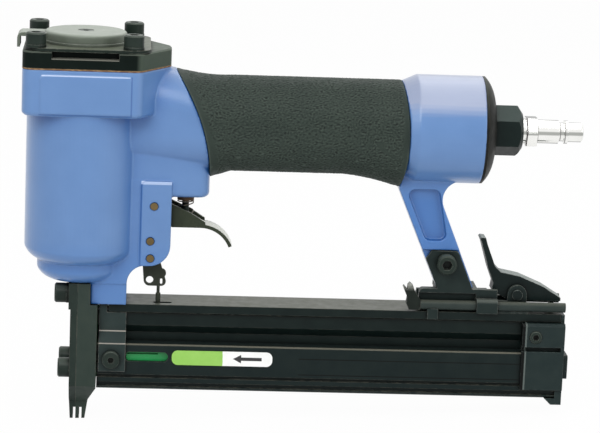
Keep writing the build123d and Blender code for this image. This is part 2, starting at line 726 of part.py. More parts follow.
# Body casting: head, barrel, handle root, drum and leg in one piece
with BuildPart() as body_casting:
    with BuildSketch(Plane.XY.offset(head_bottom)):
        add(plan)
    extrude(amount=HEAD_HEIGHT)
    chamfer(body_casting.edges().group_by(Axis.Z)[0], HEAD_CHAMFER)
    neck_top = nose_top + NECK_HIGH
    neck_bottom = nose_top + NECK_LOW
    with BuildSketch(Plane.XZ):
        with BuildLine():
            Line((0, nose_top), (NECK_BASE, nose_top))
            TangentArc((NECK_BASE, nose_top), (NECK_RADIUS, neck_bottom), tangent=(1, 0))
            Line((NECK_RADIUS, neck_bottom), (NECK_RADIUS, neck_top))
            TangentArc((NECK_RADIUS, neck_top), (BARREL_RADIUS, nose_top + BARREL_STEP), tangent=(1, 0.3))
            Line((BARREL_RADIUS, nose_top + BARREL_STEP), (BARREL_RADIUS, head_bottom + HEAD_CHAMFER))
            Line((BARREL_RADIUS, head_bottom + HEAD_CHAMFER), (0, head_bottom + HEAD_CHAMFER))
            Line((0, head_bottom + HEAD_CHAMFER), (0, nose_top))
        make_face()
    revolve(axis=Axis.Z)
    add(handle_root())
    add(handle_core(0))
    add(drum_and_leg())
    # Ears for the trigger, and the block that carries the nose
    with BuildSketch(Plane.XZ) as ear_side:
        Polygon(
            (0, ear_top),
            (EAR_REAR, ear_top),
            (EAR_REAR, ear_bottom),
            (BLOCK_REAR, ear_bottom),
            (BLOCK_REAR, nose_top),
            (0, nose_top),
            align=None,
        )
        fillet(ear_side.vertices().sort_by_distance((EAR_REAR, ear_bottom))[0], EAR_CORNER)
        fillet(ear_side.vertices().sort_by_distance((BLOCK_REAR, ear_bottom))[0], EAR_FILLET)
    extrude(amount=EAR_WIDTH / 2 - EAR_PAD, both=True)
    with BuildSketch(Plane.XZ) as ear_pad:
        Polygon(
            (slot_front, ear_top),
            (EAR_REAR, ear_top),
            (EAR_REAR, ear_bottom),
            (slot_front, ear_bottom),
            align=None,
        )
        fillet(ear_pad.vertices().sort_by_distance((EAR_REAR, ear_bottom))[0], EAR_CORNER)
        fillet(ear_pad.vertices().sort_by_distance((slot_front, ear_top))[0], EAR_PAD_CORNER)
    extrude(amount=EAR_WIDTH / 2, both=True)
    with BuildSketch(Plane.XZ):
        with Locations((nose_upper_x, rail_top)):
            Rectangle(
                BLOCK_REAR - nose_upper_x,
                nose_top - rail_top + BARREL_STEP / 2,
                align=(Align.MIN, Align.MIN),
            )
    extrude(amount=BLOCK_WIDTH / 2, both=True)
    add(valve_boss(0))
    # Slot for the trigger and the lockout lever
    with Locations((slot_front, 0, boss_bottom)):
        Box(
            EAR_REAR - slot_front + VALVE_BOSS_RADIUS,
            EAR_SLOT,
            boss_bottom - nose_top,
            align=(Align.MIN, Align.CENTER, Align.MAX),
            mode=Mode.SUBTRACT,
        )
    # Engine bores
    with Locations((0, 0, sleeve_bottom)):
        Cylinder(SLEEVE_RADIUS + SEAT_FIT, HEAD_ROOM + SLEEVE_LENGTH, align=FROM_BELOW, mode=Mode.SUBTRACT)
    chamber_top = sleeve_top - SLEEVE_STAND - SLEEVE_WEB
    with Locations((0, 0, sleeve_bottom + SLEEVE_SEAT)):
        Cylinder(
            CHAMBER_RADIUS,
            chamber_top - sleeve_bottom - SLEEVE_SEAT,
            align=FROM_BELOW,
            mode=Mode.SUBTRACT,
        )
    with Locations((0, 0, head_joint)):
        Cylinder(HEAD_BORE, HEAD_ROOM + SLEEVE_STAND, align=FROM_ABOVE, mode=Mode.SUBTRACT)
    with Locations((0, 0, nose_top)):
        Cylinder(BLADE_HOLE, FLOOR_THICKNESS, align=FROM_BELOW, mode=Mode.SUBTRACT)
    # Air space in the handle, and the bore for the end cap
    air_start = CHAMBER_RADIUS - AIR_BORE_LAP
    with Locations(along(air_start, handle_z)):
        Cylinder(AIR_BORE, DRUM_END - air_start, align=FROM_BELOW, mode=Mode.SUBTRACT)
    with Locations(along(DRUM_END - DRUM_BORE_DEPTH, handle_z)):
        Cylinder(DRUM_BORE, DRUM_BORE_DEPTH, align=FROM_BELOW, mode=Mode.SUBTRACT)
    # Bore of the trigger valve with its port from the handle
    with Locations((VALVE_X, 0, boss_bottom)):
        Cylinder(VALVE_BORE, VALVE_BORE_DEPTH, align=FROM_BELOW, mode=Mode.SUBTRACT)
        Cylinder(STEM_RADIUS, handle_z - boss_bottom, align=FROM_BELOW, mode=Mode.SUBTRACT)
    # Bare raised panels on both sides of the head
    for side in (1, -1):
        with BuildSketch(Plane.XZ.offset(side * HEAD_WIDTH / 2)):
            with Locations((PANEL_X, head_joint - PANEL_DROP)):
                RectangleRounded(PANEL_WIDTH, PANEL_HEIGHT, PANEL_CORNER)
        extrude(amount=side * PANEL_RISE)
    # Pockets in the leg and its thinner foot
    pocket_bottom = bracket_top + LEG_STEP + LEG_POCKET_RIM
    for side in (1, -1):
        with BuildSketch(Plane.XZ.offset(side * LEG_WIDTH / 2)) as pocket:
            Polygon(
                (leg_front(leg_top) + LEG_POCKET_FRONT, leg_top),
                (leg_front(pocket_bottom) + LEG_POCKET_FRONT, pocket_bottom),
                (leg_rear(pocket_bottom) - LEG_POCKET_RIM, pocket_bottom),
                (leg_rear(leg_top) + LEG_POCKET_SPREAD, leg_top),
                align=None,
            )
            fillet(pocket.vertices(), LEG_POCKET_CORNER)
        extrude(amount=-side * LEG_POCKET_DEPTH, mode=Mode.SUBTRACT)
        with Locations((leg_foot_x, side * LEG_WIDTH / 2, bracket_top)):
            Box(
                4 * LEG_FOOT_DEPTH,
                2 * BRACKET_SHEET,
                LEG_STEP,
                align=(Align.CENTER, Align.CENTER, Align.MIN),
                mode=Mode.SUBTRACT,
            )
    # Screw and pin holes
    with BuildSketch(Plane.XY.offset(head_joint)):
        with GridLocations(CAP_BOLT_SPACING, CAP_BOLT_SPACING, 2, 2):
            Circle(M5[0] + SCREW_FIT)
    extrude(amount=-CAP_BOLT_HOLE, mode=Mode.SUBTRACT)
    with Locations(along(nose_upper_x, nose_top - UPPER_BOLT_DROP, UPPER_BOLT_Y)):
        Cylinder(M5[0] + SCREW_FIT, UPPER_BOLT_REACH + M5[0], align=FROM_BELOW, mode=Mode.SUBTRACT)
    for x, z in pin_places.values():
        with Locations(across(x, z)):
            Cylinder(PIN_RADIUS + RUN_FIT, EAR_WIDTH, mode=Mode.SUBTRACT)
    with Locations(across(bracket_screw_x, bracket_top + BRACKET_SCREW_RISE)):
        Cylinder(M5[0] + SCREW_FIT, LEG_WIDTH, mode=Mode.SUBTRACT)
save(body_casting, "body_casting")

# Rubber grip, a sleeve that swells at both ends
half_height = GRIP_HEIGHT / 2
swell_end = GRIP_HEEL_X + GRIP_FRONT_SWELL
swell_start = GRIP_END - GRIP_REAR_LENGTH


def grip_section(x, up, down, width):
    """A section of the grip, with its reach above and below the axis of the handle."""
    with BuildSketch(Plane.YZ.offset(x)) as section:
        with Locations((0, handle_z + (up - down) / 2)):
            RectangleRounded(width, up + down, width / 2 - GRIP_ROUND)
    return section.sketch


with BuildPart() as grip_sleeve:
    front_end = grip_section(
        GRIP_TOP_X - GRIP_FLARE,
        half_height + GRIP_FLARE,
        half_height + GRIP_FRONT_DROP,
        GRIP_WIDTH + GRIP_FLARE,
    )
    front_neck = grip_section(
        (GRIP_TOP_X + swell_end) / 2,
        half_height + SLIDE_FIT,
        half_height + GRIP_FLARE,
        GRIP_WIDTH + GRIP_FLARE / 2,
    )
    plain = grip_section(swell_end, half_height, half_height, GRIP_WIDTH)
    loft([front_end, front_neck, plain])
    extrude(plain, amount=swell_start - swell_end)
    rear_neck = grip_section(
        GRIP_END - GRIP_REAR_NECK,
        half_height,
        half_height + GRIP_REAR_HALF,
        GRIP_WIDTH + GRIP_REAR_HALF,
    )
    rear_end = grip_section(
        GRIP_END,
        half_height,
        half_height + GRIP_REAR_FLARE,
        GRIP_WIDTH + GRIP_REAR_SWELL,
    )
    loft([grip_section(swell_start, half_height, half_height, GRIP_WIDTH), rear_neck, rear_end])
    extrude(rear_end, amount=GRIP_REAR_BULGE + SEAT_FIT)
    add(before_drum(0), mode=Mode.INTERSECT)
    add(handle_core(SEAT_FIT), mode=Mode.SUBTRACT)
    add(valve_boss(SEAT_FIT), mode=Mode.SUBTRACT)
    add(before_grip(0), mode=Mode.SUBTRACT)
save(grip_sleeve, "grip_sleeve")

# Cap gasket
with BuildPart() as cap_gasket:
    with BuildSketch(Plane.XY.offset(head_joint)):
        add(plan)
        Circle(HEAD_BORE, mode=Mode.SUBTRACT)
        with GridLocations(CAP_BOLT_SPACING, CAP_BOLT_SPACING, 2, 2):
            Circle(M5[0] + SCREW_FIT, mode=Mode.SUBTRACT)
    extrude(amount=GASKET_THICKNESS)
save(cap_gasket, "cap_gasket")

# Head cap, with a ring pocket for the spring and a bore for the stem of the head valve
stem_bore = HEAD_VALVE_STEM + SLIDE_FIT
pocket_depth = CAP_HEIGHT - CAP_NOTCH_HEIGHT
with BuildPart() as head_cap:
    with BuildSketch(Plane.XY.offset(cap_bottom)):
        add(plan)
    extrude(amount=CAP_HEIGHT)
    chamfer(head_cap.edges().group_by(Axis.Z)[-1], CAP_EDGE)
    with BuildSketch(Plane.XY.offset(cap_bottom)):
        Circle(HEAD_COIL_RADIUS + 2 * HEAD_WIRE_RADIUS + SLIDE_FIT)
        Circle(stem_bore + (HEAD_COIL_RADIUS - HEAD_WIRE_RADIUS - stem_bore) / 2, mode=Mode.SUBTRACT)
    extrude(amount=pocket_depth, mode=Mode.SUBTRACT)
    with BuildSketch(Plane.XY.offset(cap_bottom)):
        Circle(stem_bore)
        with GridLocations(CAP_BOLT_SPACING, CAP_BOLT_SPACING, 2, 2):
            Circle(M5[0] + SCREW_FIT)
    extrude(amount=CAP_HEIGHT, mode=Mode.SUBTRACT)
    for side in (1, -1):
        with Locations((PANEL_X / 2, side * HEAD_WIDTH / 2, cap_top)):
            Box(CAP_NOTCH_WIDTH, 2 * CAP_NOTCH_DEPTH, 2 * CAP_NOTCH_HEIGHT, mode=Mode.SUBTRACT)
save(head_cap, "head_cap")

# Exhaust plate under the cap screws
plate_front = HEAD_FRONT - CAP_EDGE
with BuildPart() as exhaust_plate:
    with BuildSketch(Plane.XY.offset(cap_top)):
        with Locations(((PLATE_REAR - plate_front) / 2, 0)):
            RectangleRounded(PLATE_REAR + plate_front, HEAD_WIDTH - CAP_EDGE, PLATE_CORNER)
        with GridLocations(CAP_BOLT_SPACING, CAP_BOLT_SPACING, 2, 2):
            Circle(CAP_BOLT_LAND)
        Circle(M4[0] + SCREW_FIT, mode=Mode.SUBTRACT)
        with PolarLocations(PLATE_PORT_CIRCLE, PLATE_PORTS, 360 / PLATE_PORTS / 2):
            Circle(PLATE_PORT_RADIUS, mode=Mode.SUBTRACT)
        with GridLocations(CAP_BOLT_SPACING, CAP_BOLT_SPACING, 2, 2):
            Circle(M5[0] + SCREW_FIT, mode=Mode.SUBTRACT)
    extrude(amount=PLATE_THICKNESS)
save(exhaust_plate, "exhaust_plate")

# Exhaust deflector: a hollow dome with a spout that hooks over the front of the head
dome_top = plate_top + DOME_HEIGHT
spout_inner = SPOUT_WIDTH / 2 - DOME_WALL
spout_end = SPOUT_REACH - SPOUT_LIP
spout_top = dome_top - DOME_FLANGE_HEIGHT
channel_height = DOME_HEIGHT - DOME_FLANGE_HEIGHT - DOME_WALL
with BuildPart() as exhaust_deflector:
    with Locations((0, 0, plate_top)):
        Cylinder(DOME_RADIUS, DOME_HEIGHT, align=FROM_BELOW)
    fillet(exhaust_deflector.edges().group_by(Axis.Z)[-1], DOME_WALL)
    with Locations((0, 0, plate_top)):
        Cylinder(DOME_RADIUS + DOME_FLANGE, DOME_FLANGE_HEIGHT, align=FROM_BELOW)
    with BuildSketch(Plane.XZ) as spout_side:
        Polygon(
            (-SPOUT_REACH, plate_top - SPOUT_DROP),
            (-SPOUT_REACH, spout_top),
            (-DOME_RADIUS / 2, spout_top),
            (-DOME_RADIUS / 2, plate_top),
            (-spout_end, plate_top),
            (-spout_end, plate_top - SPOUT_DROP),
            align=None,
        )
        fillet(spout_side.vertices().sort_by_distance((-SPOUT_REACH, spout_top))[0], SPOUT_BEND)
    extrude(amount=SPOUT_WIDTH / 2, both=True)
    # Channel from the dome to the outlet, open at the sides behind the teeth
    with Locations((0, 0, plate_top)):
        Cylinder(DOME_RADIUS - DOME_WALL, DOME_HEIGHT - DOME_WALL, align=FROM_BELOW, mode=Mode.SUBTRACT)
        with Locations((-spout_end, 0, 0)):
            Box(
                spout_end,
                2 * spout_inner,
                channel_height,
                align=(Align.MIN, Align.CENTER, Align.MIN),
                mode=Mode.SUBTRACT,
            )
            Box(
                SPOUT_GAP,
                SPOUT_WIDTH,
                channel_height,
                align=(Align.MIN, Align.CENTER, Align.MIN),
                mode=Mode.SUBTRACT,
            )
    # Comb of teeth across the outlet
    tooth_pitch = SPOUT_WIDTH / SPOUT_TEETH
    with Locations((-SPOUT_REACH, 0, plate_top - SPOUT_DROP)):
        with GridLocations(0, tooth_pitch, 1, SPOUT_TEETH - 1):
            Box(
                2 * SPOUT_LIP,
                TOOTH_GAP,
                SPOUT_DROP + channel_height,
                align=FROM_BELOW,
                mode=Mode.SUBTRACT,
            )
    # Post and hole for the screw
    with Locations((0, 0, plate_top)):
        Cylinder(DEFLECTOR_SCREW_HEAD + DOME_WALL, DOME_HEIGHT, align=FROM_BELOW)
        Cylinder(M4[0] + SCREW_FIT, DOME_HEIGHT, align=FROM_BELOW, mode=Mode.SUBTRACT)
    with Locations((0, 0, dome_top)):
        Cylinder(DEFLECTOR_SCREW_HEAD, DOME_WALL, align=FROM_ABOVE, mode=Mode.SUBTRACT)
save(exhaust_deflector, "exhaust_deflector")

with BuildPart() as deflector_screw:
    with Locations((0, 0, dome_top - DOME_WALL)):
        flat_head = (M4[0], DEFLECTOR_SCREW_HEAD - SCREW_FIT, DOME_WALL - SCREW_FIT, M4[3])
        add(socket_screw(flat_head, DOME_HEIGHT - DOME_WALL + PLATE_THICKNESS))
save(deflector_screw, "deflector_screw")

# Four cap screws on their washers
with BuildPart() as cap_washers:
    with BuildSketch(Plane.XY.offset(plate_top)):
        with GridLocations(CAP_BOLT_SPACING, CAP_BOLT_SPACING, 2, 2):
            Circle(WASHER_RADIUS)
            Circle(M5[0] + SCREW_FIT, mode=Mode.SUBTRACT)
    extrude(amount=WASHER_THICKNESS)
save(cap_washers, "cap_washers")

cap_stack = WASHER_THICKNESS + PLATE_THICKNESS + CAP_HEIGHT + GASKET_THICKNESS
cap_screw = socket_screw(M5, cap_stack + CAP_BOLT_REACH)
with BuildPart(Plane.XY.offset(plate_top + WASHER_THICKNESS)) as cap_screws:
    with GridLocations(CAP_BOLT_SPACING, CAP_BOLT_SPACING, 2, 2):
        add(cap_screw)
save(cap_screws, "cap_screws")

# Head valve, its seal and its spring
valve_bottom = sleeve_top + SLIDE_FIT
disc_top = valve_bottom + HEAD_VALVE_DISC
with BuildPart() as head_valve:
    with Locations((0, 0, valve_bottom)):
        Cylinder(HEAD_BORE - SLIDE_FIT, HEAD_VALVE_DISC, align=FROM_BELOW)
        Cylinder(HEAD_VALVE_STEM, head_joint + HEAD_VALVE_STEM_TOP - valve_bottom, align=FROM_BELOW)
        Cylinder(
            HEAD_VALVE_PORT,
            head_joint + HEAD_VALVE_STEM_TOP - valve_bottom,
            align=FROM_BELOW,
            mode=Mode.SUBTRACT,
        )
    with BuildSketch(Plane.XY.offset(valve_bottom)):
        Circle(SLEEVE_RADIUS + FACE_SEAL_LAP)
        Circle(SLEEVE_BORE - FACE_SEAL_LAP, mode=Mode.SUBTRACT)
    extrude(amount=FACE_SEAL_DEPTH, mode=Mode.SUBTRACT)
save(head_valve, "head_valve")

with BuildPart() as head_valve_seal:
    with BuildSketch(Plane.XY.offset(valve_bottom)):
        Circle(SLEEVE_RADIUS + FACE_SEAL_LAP - SEAT_FIT)
        Circle(SLEEVE_BORE - FACE_SEAL_LAP + SEAT_FIT, mode=Mode.SUBTRACT)
    extrude(amount=FACE_SEAL_DEPTH)
save(head_valve_seal, "head_valve_seal")

head_spring_room = cap_bottom + pocket_depth - disc_top - 2 * SEAT_FIT
with BuildPart() as head_valve_spring:
    with Locations((0, 0, disc_top + SEAT_FIT)):
        add(coil("head_valve_spring", HEAD_COIL_RADIUS, HEAD_WIRE_RADIUS, head_spring_room, HEAD_TURNS))
save(head_valve_spring, "head_valve_spring")

# Cylinder sleeve and its two seals
seal_major = SLEEVE_RADIUS + SEAT_FIT - SEAL_WIRE - RUN_FIT
seal_heights = (sleeve_bottom + SLEEVE_SEAT / 2, sleeve_top - SLEEVE_STAND - SLEEVE_WEB / 2)
port_height = (seal_heights[0] + seal_heights[1]) / 2
with BuildPart() as cylinder_sleeve:
    with Locations((0, 0, sleeve_bottom)):
        Cylinder(SLEEVE_RADIUS, SLEEVE_LENGTH, align=FROM_BELOW)
        Cylinder(SLEEVE_BORE, SLEEVE_LENGTH, align=FROM_BELOW, mode=Mode.SUBTRACT)
    for z in seal_heights:
        with BuildSketch(Plane.XY.offset(z - SEAL_WIRE - SEAT_FIT)):
            Circle(SLEEVE_RADIUS + FACE_SEAL_LAP)
            Circle(seal_major - SEAL_WIRE - RUN_FIT, mode=Mode.SUBTRACT)
        extrude(amount=2 * (SEAL_WIRE + SEAT_FIT), mode=Mode.SUBTRACT)
    with Locations((0, 0, port_height)):
        with PolarLocations(SLEEVE_RADIUS, SLEEVE_PORTS):
            Cylinder(SLEEVE_PORT_RADIUS, SLEEVE_RADIUS, rotation=(0, 90, 0), mode=Mode.SUBTRACT)
save(cylinder_sleeve, "cylinder_sleeve")

with BuildPart() as sleeve_seals:
    with Locations(*[(0, 0, z) for z in seal_heights]):
        add(seal(seal_major, SEAL_WIRE))
save(sleeve_seals, "sleeve_seals")

# Bumper that stops the piston
with BuildPart() as bumper:
    with Locations((0, 0, sleeve_bottom)):
        Cylinder(SLEEVE_BORE - SEAT_FIT, BUMPER_HEIGHT, align=FROM_BELOW)
        Cylinder(BUMPER_BORE, BUMPER_HEIGHT, align=FROM_BELOW, mode=Mode.SUBTRACT)
    chamfer(bumper.edges().group_by(Axis.Z)[-1], BUMPER_EDGE)
save(bumper, "bumper")

# Piston with its ring, and the driver blade pinned into it
piston_bottom = sleeve_bottom + BUMPER_HEIGHT + SLIDE_FIT
ring_height = piston_bottom + PISTON_RING_RISE
ring_major = SLEEVE_BORE - RUN_FIT - PISTON_RING_WIRE
tang_top = piston_bottom + TANG_RISE
pin_height = piston_bottom + PISTON_PIN_RISE
blade_bottom = BLADE_TIP
with BuildPart() as piston:
    with Locations((0, 0, piston_bottom)):
        Cylinder(SLEEVE_BORE - SEAT_FIT, PISTON_HEIGHT, align=FROM_BELOW)
        with Locations((0, 0, PISTON_HEIGHT)):
            Cylinder(PISTON_DISH, PISTON_DISH_DEPTH, align=FROM_ABOVE, mode=Mode.SUBTRACT)
        Box(
            BLADE_THICKNESS + 2 * SEAT_FIT,
            TANG_WIDTH + 2 * SEAT_FIT,
            TANG_RISE + SEAT_FIT,
            align=FROM_BELOW,
            mode=Mode.SUBTRACT,
        )
    with BuildSketch(Plane.XY.offset(ring_height - PISTON_RING_WIRE - SEAT_FIT)):
        Circle(SLEEVE_RADIUS)
        Circle(ring_major - PISTON_RING_WIRE - RUN_FIT, mode=Mode.SUBTRACT)
    extrude(amount=2 * (PISTON_RING_WIRE + SEAT_FIT), mode=Mode.SUBTRACT)
    with Locations(along(0, pin_height)):
        Cylinder(PISTON_PIN_RADIUS + RUN_FIT, 2 * SLEEVE_BORE, mode=Mode.SUBTRACT)
save(piston, "piston")

with BuildPart() as piston_ring:
    with Locations((0, 0, ring_height)):
        add(seal(ring_major, PISTON_RING_WIRE))
save(piston_ring, "piston_ring")

with BuildPart() as driver_blade:
    with Locations((0, 0, blade_bottom)):
        Box(BLADE_THICKNESS, BLADE_WIDTH, tang_top - blade_bottom, align=FROM_BELOW)
    with Locations((0, 0, tang_top)):
        Box(BLADE_THICKNESS, TANG_WIDTH, TANG_RISE, align=FROM_ABOVE)
    with Locations(along(0, pin_height)):
        Cylinder(PISTON_PIN_RADIUS + RUN_FIT, 4 * BLADE_THICKNESS, mode=Mode.SUBTRACT)
save(driver_blade, "driver_blade")

with BuildPart() as driver_pin:
    with Locations(along(0, pin_height)):
        Cylinder(PISTON_PIN_RADIUS, 2 * (SLEEVE_BORE - PISTON_PIN_INSET))
save(driver_pin, "driver_pin")

# Nose body: guides the blade, lets the brads in from behind and carries the guide plates
nose_half = NOSE_WIDTH / 2
tip_half = NOSE_TIP_WIDTH / 2
strip_floor = slide_bottom + SLIDE_WALL
strip_roof = rail_top - RAIL_ROOF
rib_outer = STRIP_SLOT / 2 + STRIP_RIB
cavity_half = SLIDE_WIDTH / 2 - SLIDE_WALL
foot_top = slide_top - SLIDE_LIP - SLIDE_FIT
foot_bottom = foot_top - RAIL_FOOT
guide_screw_z = slide_top - GUIDE_SCREW_DROP
lower_bolt_z = slide_bottom + LOWER_BOLT_RISE
rear_lip_x = channel_x + NOSE_RELIEF
nose_front_view = mirrored(
    [
        (nose_half, nose_top),
        (nose_half, NOSE_TAPER_TOP),
        (tip_half, NOSE_TAPER_BOTTOM),
        (tip_half, 0),
    ]
)
with BuildPart() as nose_body:
    with BuildSketch(Plane.XZ):
        Polygon(
            (nose_joint_x, nose_top),
            (nose_upper_x, nose_top),
            (nose_upper_x, rail_top - SEAT_FIT),
            (nose_back_x, rail_top - SEAT_FIT),
            (nose_back_x, slide_bottom - SEAT_FIT),
            (rear_lip_x + NOSE_HEEL_DEPTH, NOSE_HEEL),
            (rear_lip_x + NOSE_LIP, 0),
            (nose_joint_x, 0),
            align=None,
        )
    extrude(amount=nose_half, both=True)
    with BuildSketch(Plane.YZ):
        Polygon(*nose_front_view, align=None)
    extrude(amount=2 * NOSE_DEPTH, both=True, mode=Mode.INTERSECT)
    lug_room = cavity_half - SLIDE_FIT - rib_outer - SLIDE_FIT
    for side in (1, -1):
        with Locations((nose_back_x, side * (rib_outer + SLIDE_FIT + lug_room / 2), foot_bottom - SLIDE_FIT)):
            Box(
                NOSE_LUG_LENGTH,
                lug_room,
                2 * (foot_bottom - SLIDE_FIT - guide_screw_z),
                align=(Align.MIN, Align.CENTER, Align.MAX),
            )
    # Channel for the blade, slot for the brads and relief behind the middle lip
    with Locations((nose_joint_x, 0, 0)):
        Box(
            2 * channel_x,
            BLADE_WIDTH + 2 * BLADE_FIT,
            nose_top,
            align=(Align.MIN, Align.CENTER, Align.MIN),
            mode=Mode.SUBTRACT,
        )
    with Locations((0, 0, strip_floor)):
        Box(
            nose_back_x,
            STRIP_SLOT,
            strip_roof - strip_floor,
            align=(Align.MIN, Align.CENTER, Align.MIN),
            mode=Mode.SUBTRACT,
        )
    with Locations((channel_x, 0, 0)):
        Box(
            NOSE_RELIEF,
            NOSE_WIDTH,
            NOSE_LIP_HEIGHT,
            align=(Align.MIN, Align.CENTER, Align.MIN),
            mode=Mode.SUBTRACT,
        )
    # Screw holes
    for side in (1, -1):
        with Locations(along(nose_joint_x, lower_bolt_z, side * LOWER_BOLT_SPACING / 2)):
            Cylinder(M5[0] + SCREW_FIT, NOSE_DEPTH, align=FROM_BELOW, mode=Mode.SUBTRACT)
    with Locations(along(nose_joint_x, nose_top - UPPER_BOLT_DROP, UPPER_BOLT_Y)):
        Cylinder(M5[0] + SCREW_FIT, NOSE_DEPTH, align=FROM_BELOW, mode=Mode.SUBTRACT)
    with Locations(across(nose_back_x + GUIDE_SCREW_X, guide_screw_z)):
        Cylinder(M4[0] + SCREW_FIT, SLIDE_WIDTH, mode=Mode.SUBTRACT)
save(nose_body, "nose_body")

# Front plate that closes the blade channel
pad_bottom = nose_top - 2 * UPPER_BOLT_DROP
with BuildPart() as nose_plate:
    with BuildSketch(Plane.XZ):
        Polygon(
            (nose_joint_x, nose_top),
            (nose_front_x - NOSE_PLATE_PAD, nose_top),
            (nose_front_x - NOSE_PLATE_PAD, pad_bottom),
            (nose_front_x, pad_bottom),
            (nose_front_x, NOSE_TOE),
            (nose_joint_x - NOSE_RELIEF - NOSE_LIP, 0),
            (nose_joint_x - NOSE_RELIEF, 0),
            (nose_joint_x - NOSE_RELIEF, NOSE_LIP_HEIGHT),
            (nose_joint_x, NOSE_LIP_HEIGHT),
            align=None,
        )
    extrude(amount=nose_half, both=True)
    with BuildSketch(Plane.YZ):
        Polygon(*nose_front_view, align=None)
    extrude(amount=2 * NOSE_DEPTH, both=True, mode=Mode.INTERSECT)
    for side in (1, -1):
        with Locations(along(nose_joint_x, lower_bolt_z, side * LOWER_BOLT_SPACING / 2)):
            Cylinder(M5[0] + SCREW_FIT, 2 * NOSE_DEPTH, mode=Mode.SUBTRACT)
    with Locations(along(nose_joint_x, nose_top - UPPER_BOLT_DROP, UPPER_BOLT_Y)):
        Cylinder(M5[0] + SCREW_FIT, 2 * NOSE_DEPTH, mode=Mode.SUBTRACT)
save(nose_plate, "nose_plate")


def facing_front(x, y, z):
    """A place whose Z axis points forward, out of the front of the nose."""
    return Plane(origin=(x, y, z), x_dir=(0, 1, 0), z_dir=(-1, 0, 0)).location


def facing_side(side, x, reach, z):
    """A place at reach from the middle plane whose Z axis points out of that side."""
    return Plane(origin=(x, side * reach, z), x_dir=(1, 0, 0), z_dir=(0, side, 0)).location


pad_front = nose_front_x - NOSE_PLATE_PAD
upper_bolt_z = nose_top - UPPER_BOLT_DROP
with BuildPart() as nose_washer:
    with Locations(facing_front(pad_front, UPPER_BOLT_Y, upper_bolt_z)):
        add(washer(WASHER_RADIUS, M5[0] + SCREW_FIT, WASHER_THICKNESS))
save(nose_washer, "nose_washer")

upper_grip = pad_front - WASHER_THICKNESS
lower_screw = socket_screw(M5, NOSE_PLATE_THICKNESS + LOWER_BOLT_REACH)
with BuildPart() as nose_screws:
    with Locations(facing_front(upper_grip, UPPER_BOLT_Y, upper_bolt_z)):
        add(socket_screw(M5, nose_upper_x - upper_grip + UPPER_BOLT_REACH))
    for side in (1, -1):
        with Locations(facing_front(nose_front_x, side * LOWER_BOLT_SPACING / 2, lower_bolt_z)):
            add(lower_screw)
save(nose_screws, "nose_screws")

# Fixed magazine rail: a flange, a web, a neck and a foot that the slide holds on to
flange_half = RAIL_FLANGE_WIDTH / 2
web_half = RAIL_WEB_WIDTH / 2
neck_half = SLIDE_MOUTH / 2 - SLIDE_FIT
flange_bottom = rail_top - RAIL_FLANGE_HEIGHT
web_bottom = flange_bottom - RAIL_WEB_HEIGHT
rail_end = mag_end - SLIDE_FIT
flange_end = tail_end - TAIL_BACK_TOP - SLIDE_FIT
latch_pin_z = rail_top + LATCH_PIN_RISE
lock_x, lock_z = pin_places["lockout_pin"]
tongue_x = latch_pin_x + LATCH_TONGUE_X
with BuildPart() as magazine_rail:
    with BuildSketch(Plane.YZ.offset(mag_start)):
        Polygon(
            *mirrored(
                [
                    (flange_half, rail_top),
                    (flange_half, flange_bottom),
                    (web_half - RAIL_GROOVE, flange_bottom),
                    (web_half - RAIL_GROOVE, flange_bottom - RAIL_GROOVE),
                    (web_half, flange_bottom - RAIL_GROOVE),
                    (web_half, web_bottom),
                    (neck_half, web_bottom - RAIL_SLANT),
                    (neck_half, foot_top),
                    (cavity_half - SLIDE_FIT, foot_top),
                    (cavity_half - SLIDE_FIT, foot_bottom),
                    (STRIP_SLOT / 2, foot_bottom),
                    (STRIP_SLOT / 2, strip_roof),
                ]
            ),
            align=None,
        )
    extrude(amount=rail_end - mag_start)
    with Locations((rail_end, 0, rail_top)):
        Box(
            flange_end - rail_end,
            RAIL_FLANGE_WIDTH,
            RAIL_FLANGE_HEIGHT,
            align=(Align.MIN, Align.CENTER, Align.MAX),
        )
    with Locations((mag_start, 0, flange_bottom)):
        Box(
            RAIL_FLANGE_SETBACK,
            RAIL_FLANGE_WIDTH,
            RAIL_FLANGE_HEIGHT,
            align=(Align.MIN, Align.CENTER, Align.MIN),
            mode=Mode.SUBTRACT,
        )
    with BuildSketch(Plane.XY.offset(rail_top)):
        with Locations((lock_x + FEELER_X + FEELER_SLOT_LENGTH / 4, LOCK_Y)):
            SlotOverall(FEELER_SLOT_LENGTH, 2 * (FEELER_FOOT_RADIUS + SLIDE_FIT))
    extrude(amount=-FEELER_DEPTH - SLIDE_FIT, mode=Mode.SUBTRACT)
    with Locations((tongue_x - 2 * SLIDE_FIT, 0, rail_top)):
        Box(
            flange_end - tongue_x + 2 * SLIDE_FIT,
            LATCH_TONGUE_WIDTH + 2 * SLIDE_FIT,
            LATCH_TONGUE_DEPTH + SLIDE_FIT,
            align=(Align.MIN, Align.CENTER, Align.MAX),
            mode=Mode.SUBTRACT,
        )
save(magazine_rail, "magazine_rail")

